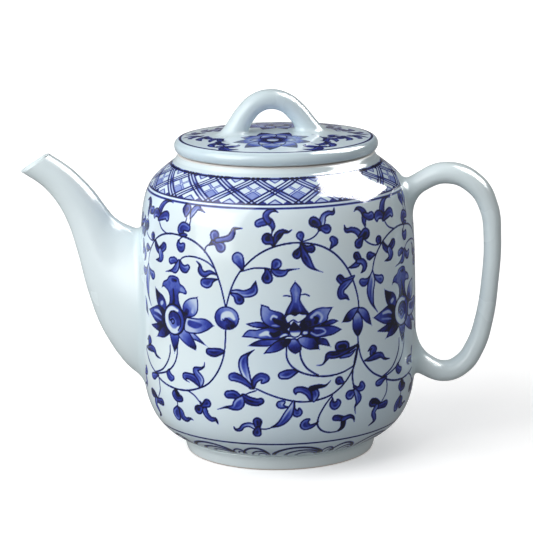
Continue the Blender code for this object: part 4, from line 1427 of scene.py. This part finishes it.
for piece, node_name, body, slot, material in (
    (pot_wall([spout_root, *handle_roots]), "pot_wall", "pot", "painted_glaze", painted),
    (neck_ring(), "neck_ring", "pot", "plain_glaze", wiped),
    (foot_ring(), "foot_ring", "pot", "plain_glaze", wiped),
    (spout_piece, "spout", "pot", "plain_glaze", plain),
    (handle_piece, "handle", "pot", "plain_glaze", plain),
    (lid_plate(loop_roots), "lid_plate", "lid", "painted_lid_glaze", painted_lid),
    (lid_collar(), "lid_collar", "lid", "plain_glaze", wiped),
    (loop_piece, "lid_loop", "lid", "plain_glaze", plain),
):
    piece.data.materials.clear()
    piece.data.materials.append(material)
    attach(piece, body)
    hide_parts(node_name)


# ---- Studio

CAMERA_AIM = Vector((AXIS_X, 0, 0.0769))
CAMERA_SIDE = -0.0047
CAMERA_DISTANCE = 1.0
CAMERA_ELEVATION, CAMERA_AZIMUTH, CAMERA_ROLL = math.radians(12.3), math.radians(4), math.radians(-0.85)
CAMERA_LENS = 161.5
STUDIO_MIDDLE = Vector((AXIS_X, 0, 0.07))
FLOOR_HALF, FLOOR_TONE = 8.0, (0.92, 0.92, 0.92, 1)
WHITE = (1, 1, 1, 1)


def studio_floor():
    """A pale floor that glows, painted light that brightens it away from the pot, until it meets the white
    room.
    """
    bm = bmesh.new()
    bmesh.ops.create_grid(bm, x_segments=8, y_segments=8, size=FLOOR_HALF)
    floor = built("floor", bm)
    material, tree, shader = new_material("pale_floor")
    shader.inputs["Base Color"].default_value = FLOOR_TONE
    shader.inputs["Roughness"].default_value = 0.9
    shader.inputs["Specular IOR Level"].default_value = 0.0
    # Painted light: the floor glows, from 0.3 at half a metre out to 1 at two and a half metres.
    shader.inputs["Emission Color"].default_value = WHITE
    place = tree.nodes.new("ShaderNodeTexCoord")
    away = tree.nodes.new("ShaderNodeVectorMath")
    away.operation = "LENGTH"
    tree.links.new(place.outputs["Object"], away.inputs[0])
    tree.links.new(ranged(tree, away.outputs["Value"], 0.5, 2.5, 0.3, 1), shader.inputs["Emission Strength"])
    floor.data.materials.append(material)
    floor.visible_diffuse = False
    floor.visible_glossy = False


def softbox(name, direction, distance, size, power, matt=True, shiny=True):
    """A rectangular area light that faces the pot's middle, and that can light or be reflected alone."""
    light = bpy.data.lights.new(name, "AREA")
    light.shape = "RECTANGLE"
    light.size, light.size_y = size
    light.energy = power
    lamp = added(name, light)
    away = Vector(direction).normalized()
    lamp.location = STUDIO_MIDDLE + away * distance
    lamp.rotation_euler = away.to_track_quat("Z", "Y").to_euler()
    lamp.visible_diffuse, lamp.visible_glossy = matt, shiny


def camera():
    """A long lens, a little above the pot and leaning slightly."""
    a, e = CAMERA_AZIMUTH, CAMERA_ELEVATION
    back = Vector((math.sin(a) * math.cos(e), -math.cos(a) * math.cos(e), math.sin(e)))
    right = Vector((math.cos(a), math.sin(a), 0))
    turn = Matrix((right, back.cross(right), back)).transposed() @ Matrix.Rotation(CAMERA_ROLL, 3, "Z")
    data = bpy.data.cameras.new("camera")
    data.lens = CAMERA_LENS
    eye = added("camera", data)
    place = CAMERA_AIM + CAMERA_SIDE * right + back * CAMERA_DISTANCE
    eye.matrix_world = Matrix.Translation(place) @ turn.to_4x4()
    bpy.context.scene.camera = eye


def surroundings(seen, lit, below, right, back, card):
    """A plain white room. Its light on the pot is set apart from how bright it looks.

    It fades below, right and behind. A dark card behind, above the horizon, takes glare off the lid."""
    world = bpy.data.worlds.new("studio")
    world.use_nodes = True
    tree = world.node_tree
    sky = tree.nodes["Background"]
    path = tree.nodes.new("ShaderNodeLightPath")
    towards = tree.nodes.new("ShaderNodeSeparateXYZ")
    place = tree.nodes.new("ShaderNodeTexCoord")
    tree.links.new(place.outputs["Generated"], towards.inputs["Vector"])

    def fade(axis, start, end, low, high):
        return ranged(tree, towards.outputs[axis], start, end, low, high)

    upright, sideways = fade("Z", -0.35, 0.45, below, 1), fade("X", -0.8, 0.8, lit, lit * right)
    strength = maths(tree, "MULTIPLY", upright, sideways)
    strength = maths(tree, "MULTIPLY", strength, fade("Y", -0.5, 0.7, 1, back))
    carded = maths(tree, "MULTIPLY", fade("Y", 0.55, 0.8, 0, card), fade("Z", 0.02, 0.2, 0, 1))
    strength = maths(tree, "MULTIPLY", strength, maths(tree, "SUBTRACT", 1.0, carded))
    strength = maths(tree, "MAXIMUM", strength, maths(tree, "MULTIPLY", path.outputs["Is Camera Ray"], seen))
    tree.links.new(strength, sky.inputs["Strength"])
    sky.inputs["Color"].default_value = WHITE
    bpy.context.scene.world = world


studio_floor()
camera()
surroundings(seen=1.0, lit=0.74, below=0.4, right=0.7, back=0.66, card=0.8)
softbox("key", (-0.85, -0.62, 0.6), 1.8, (1.9, 1.6), 30.5)
softbox("back_fill", (0.1, 0.9, 0.42), 2.8, (2.6, 2.0), 30, shiny=False)
softbox("right_window", (0.62, 0.24, 0.74), 1.1, (0.82, 0.85), 46, matt=False)
softbox("left_strip", (-0.74, -0.64, 0.2), 1.0, (0.6, 0.6), 3, matt=False)
bpy.context.scene.view_settings.view_transform = "Standard"
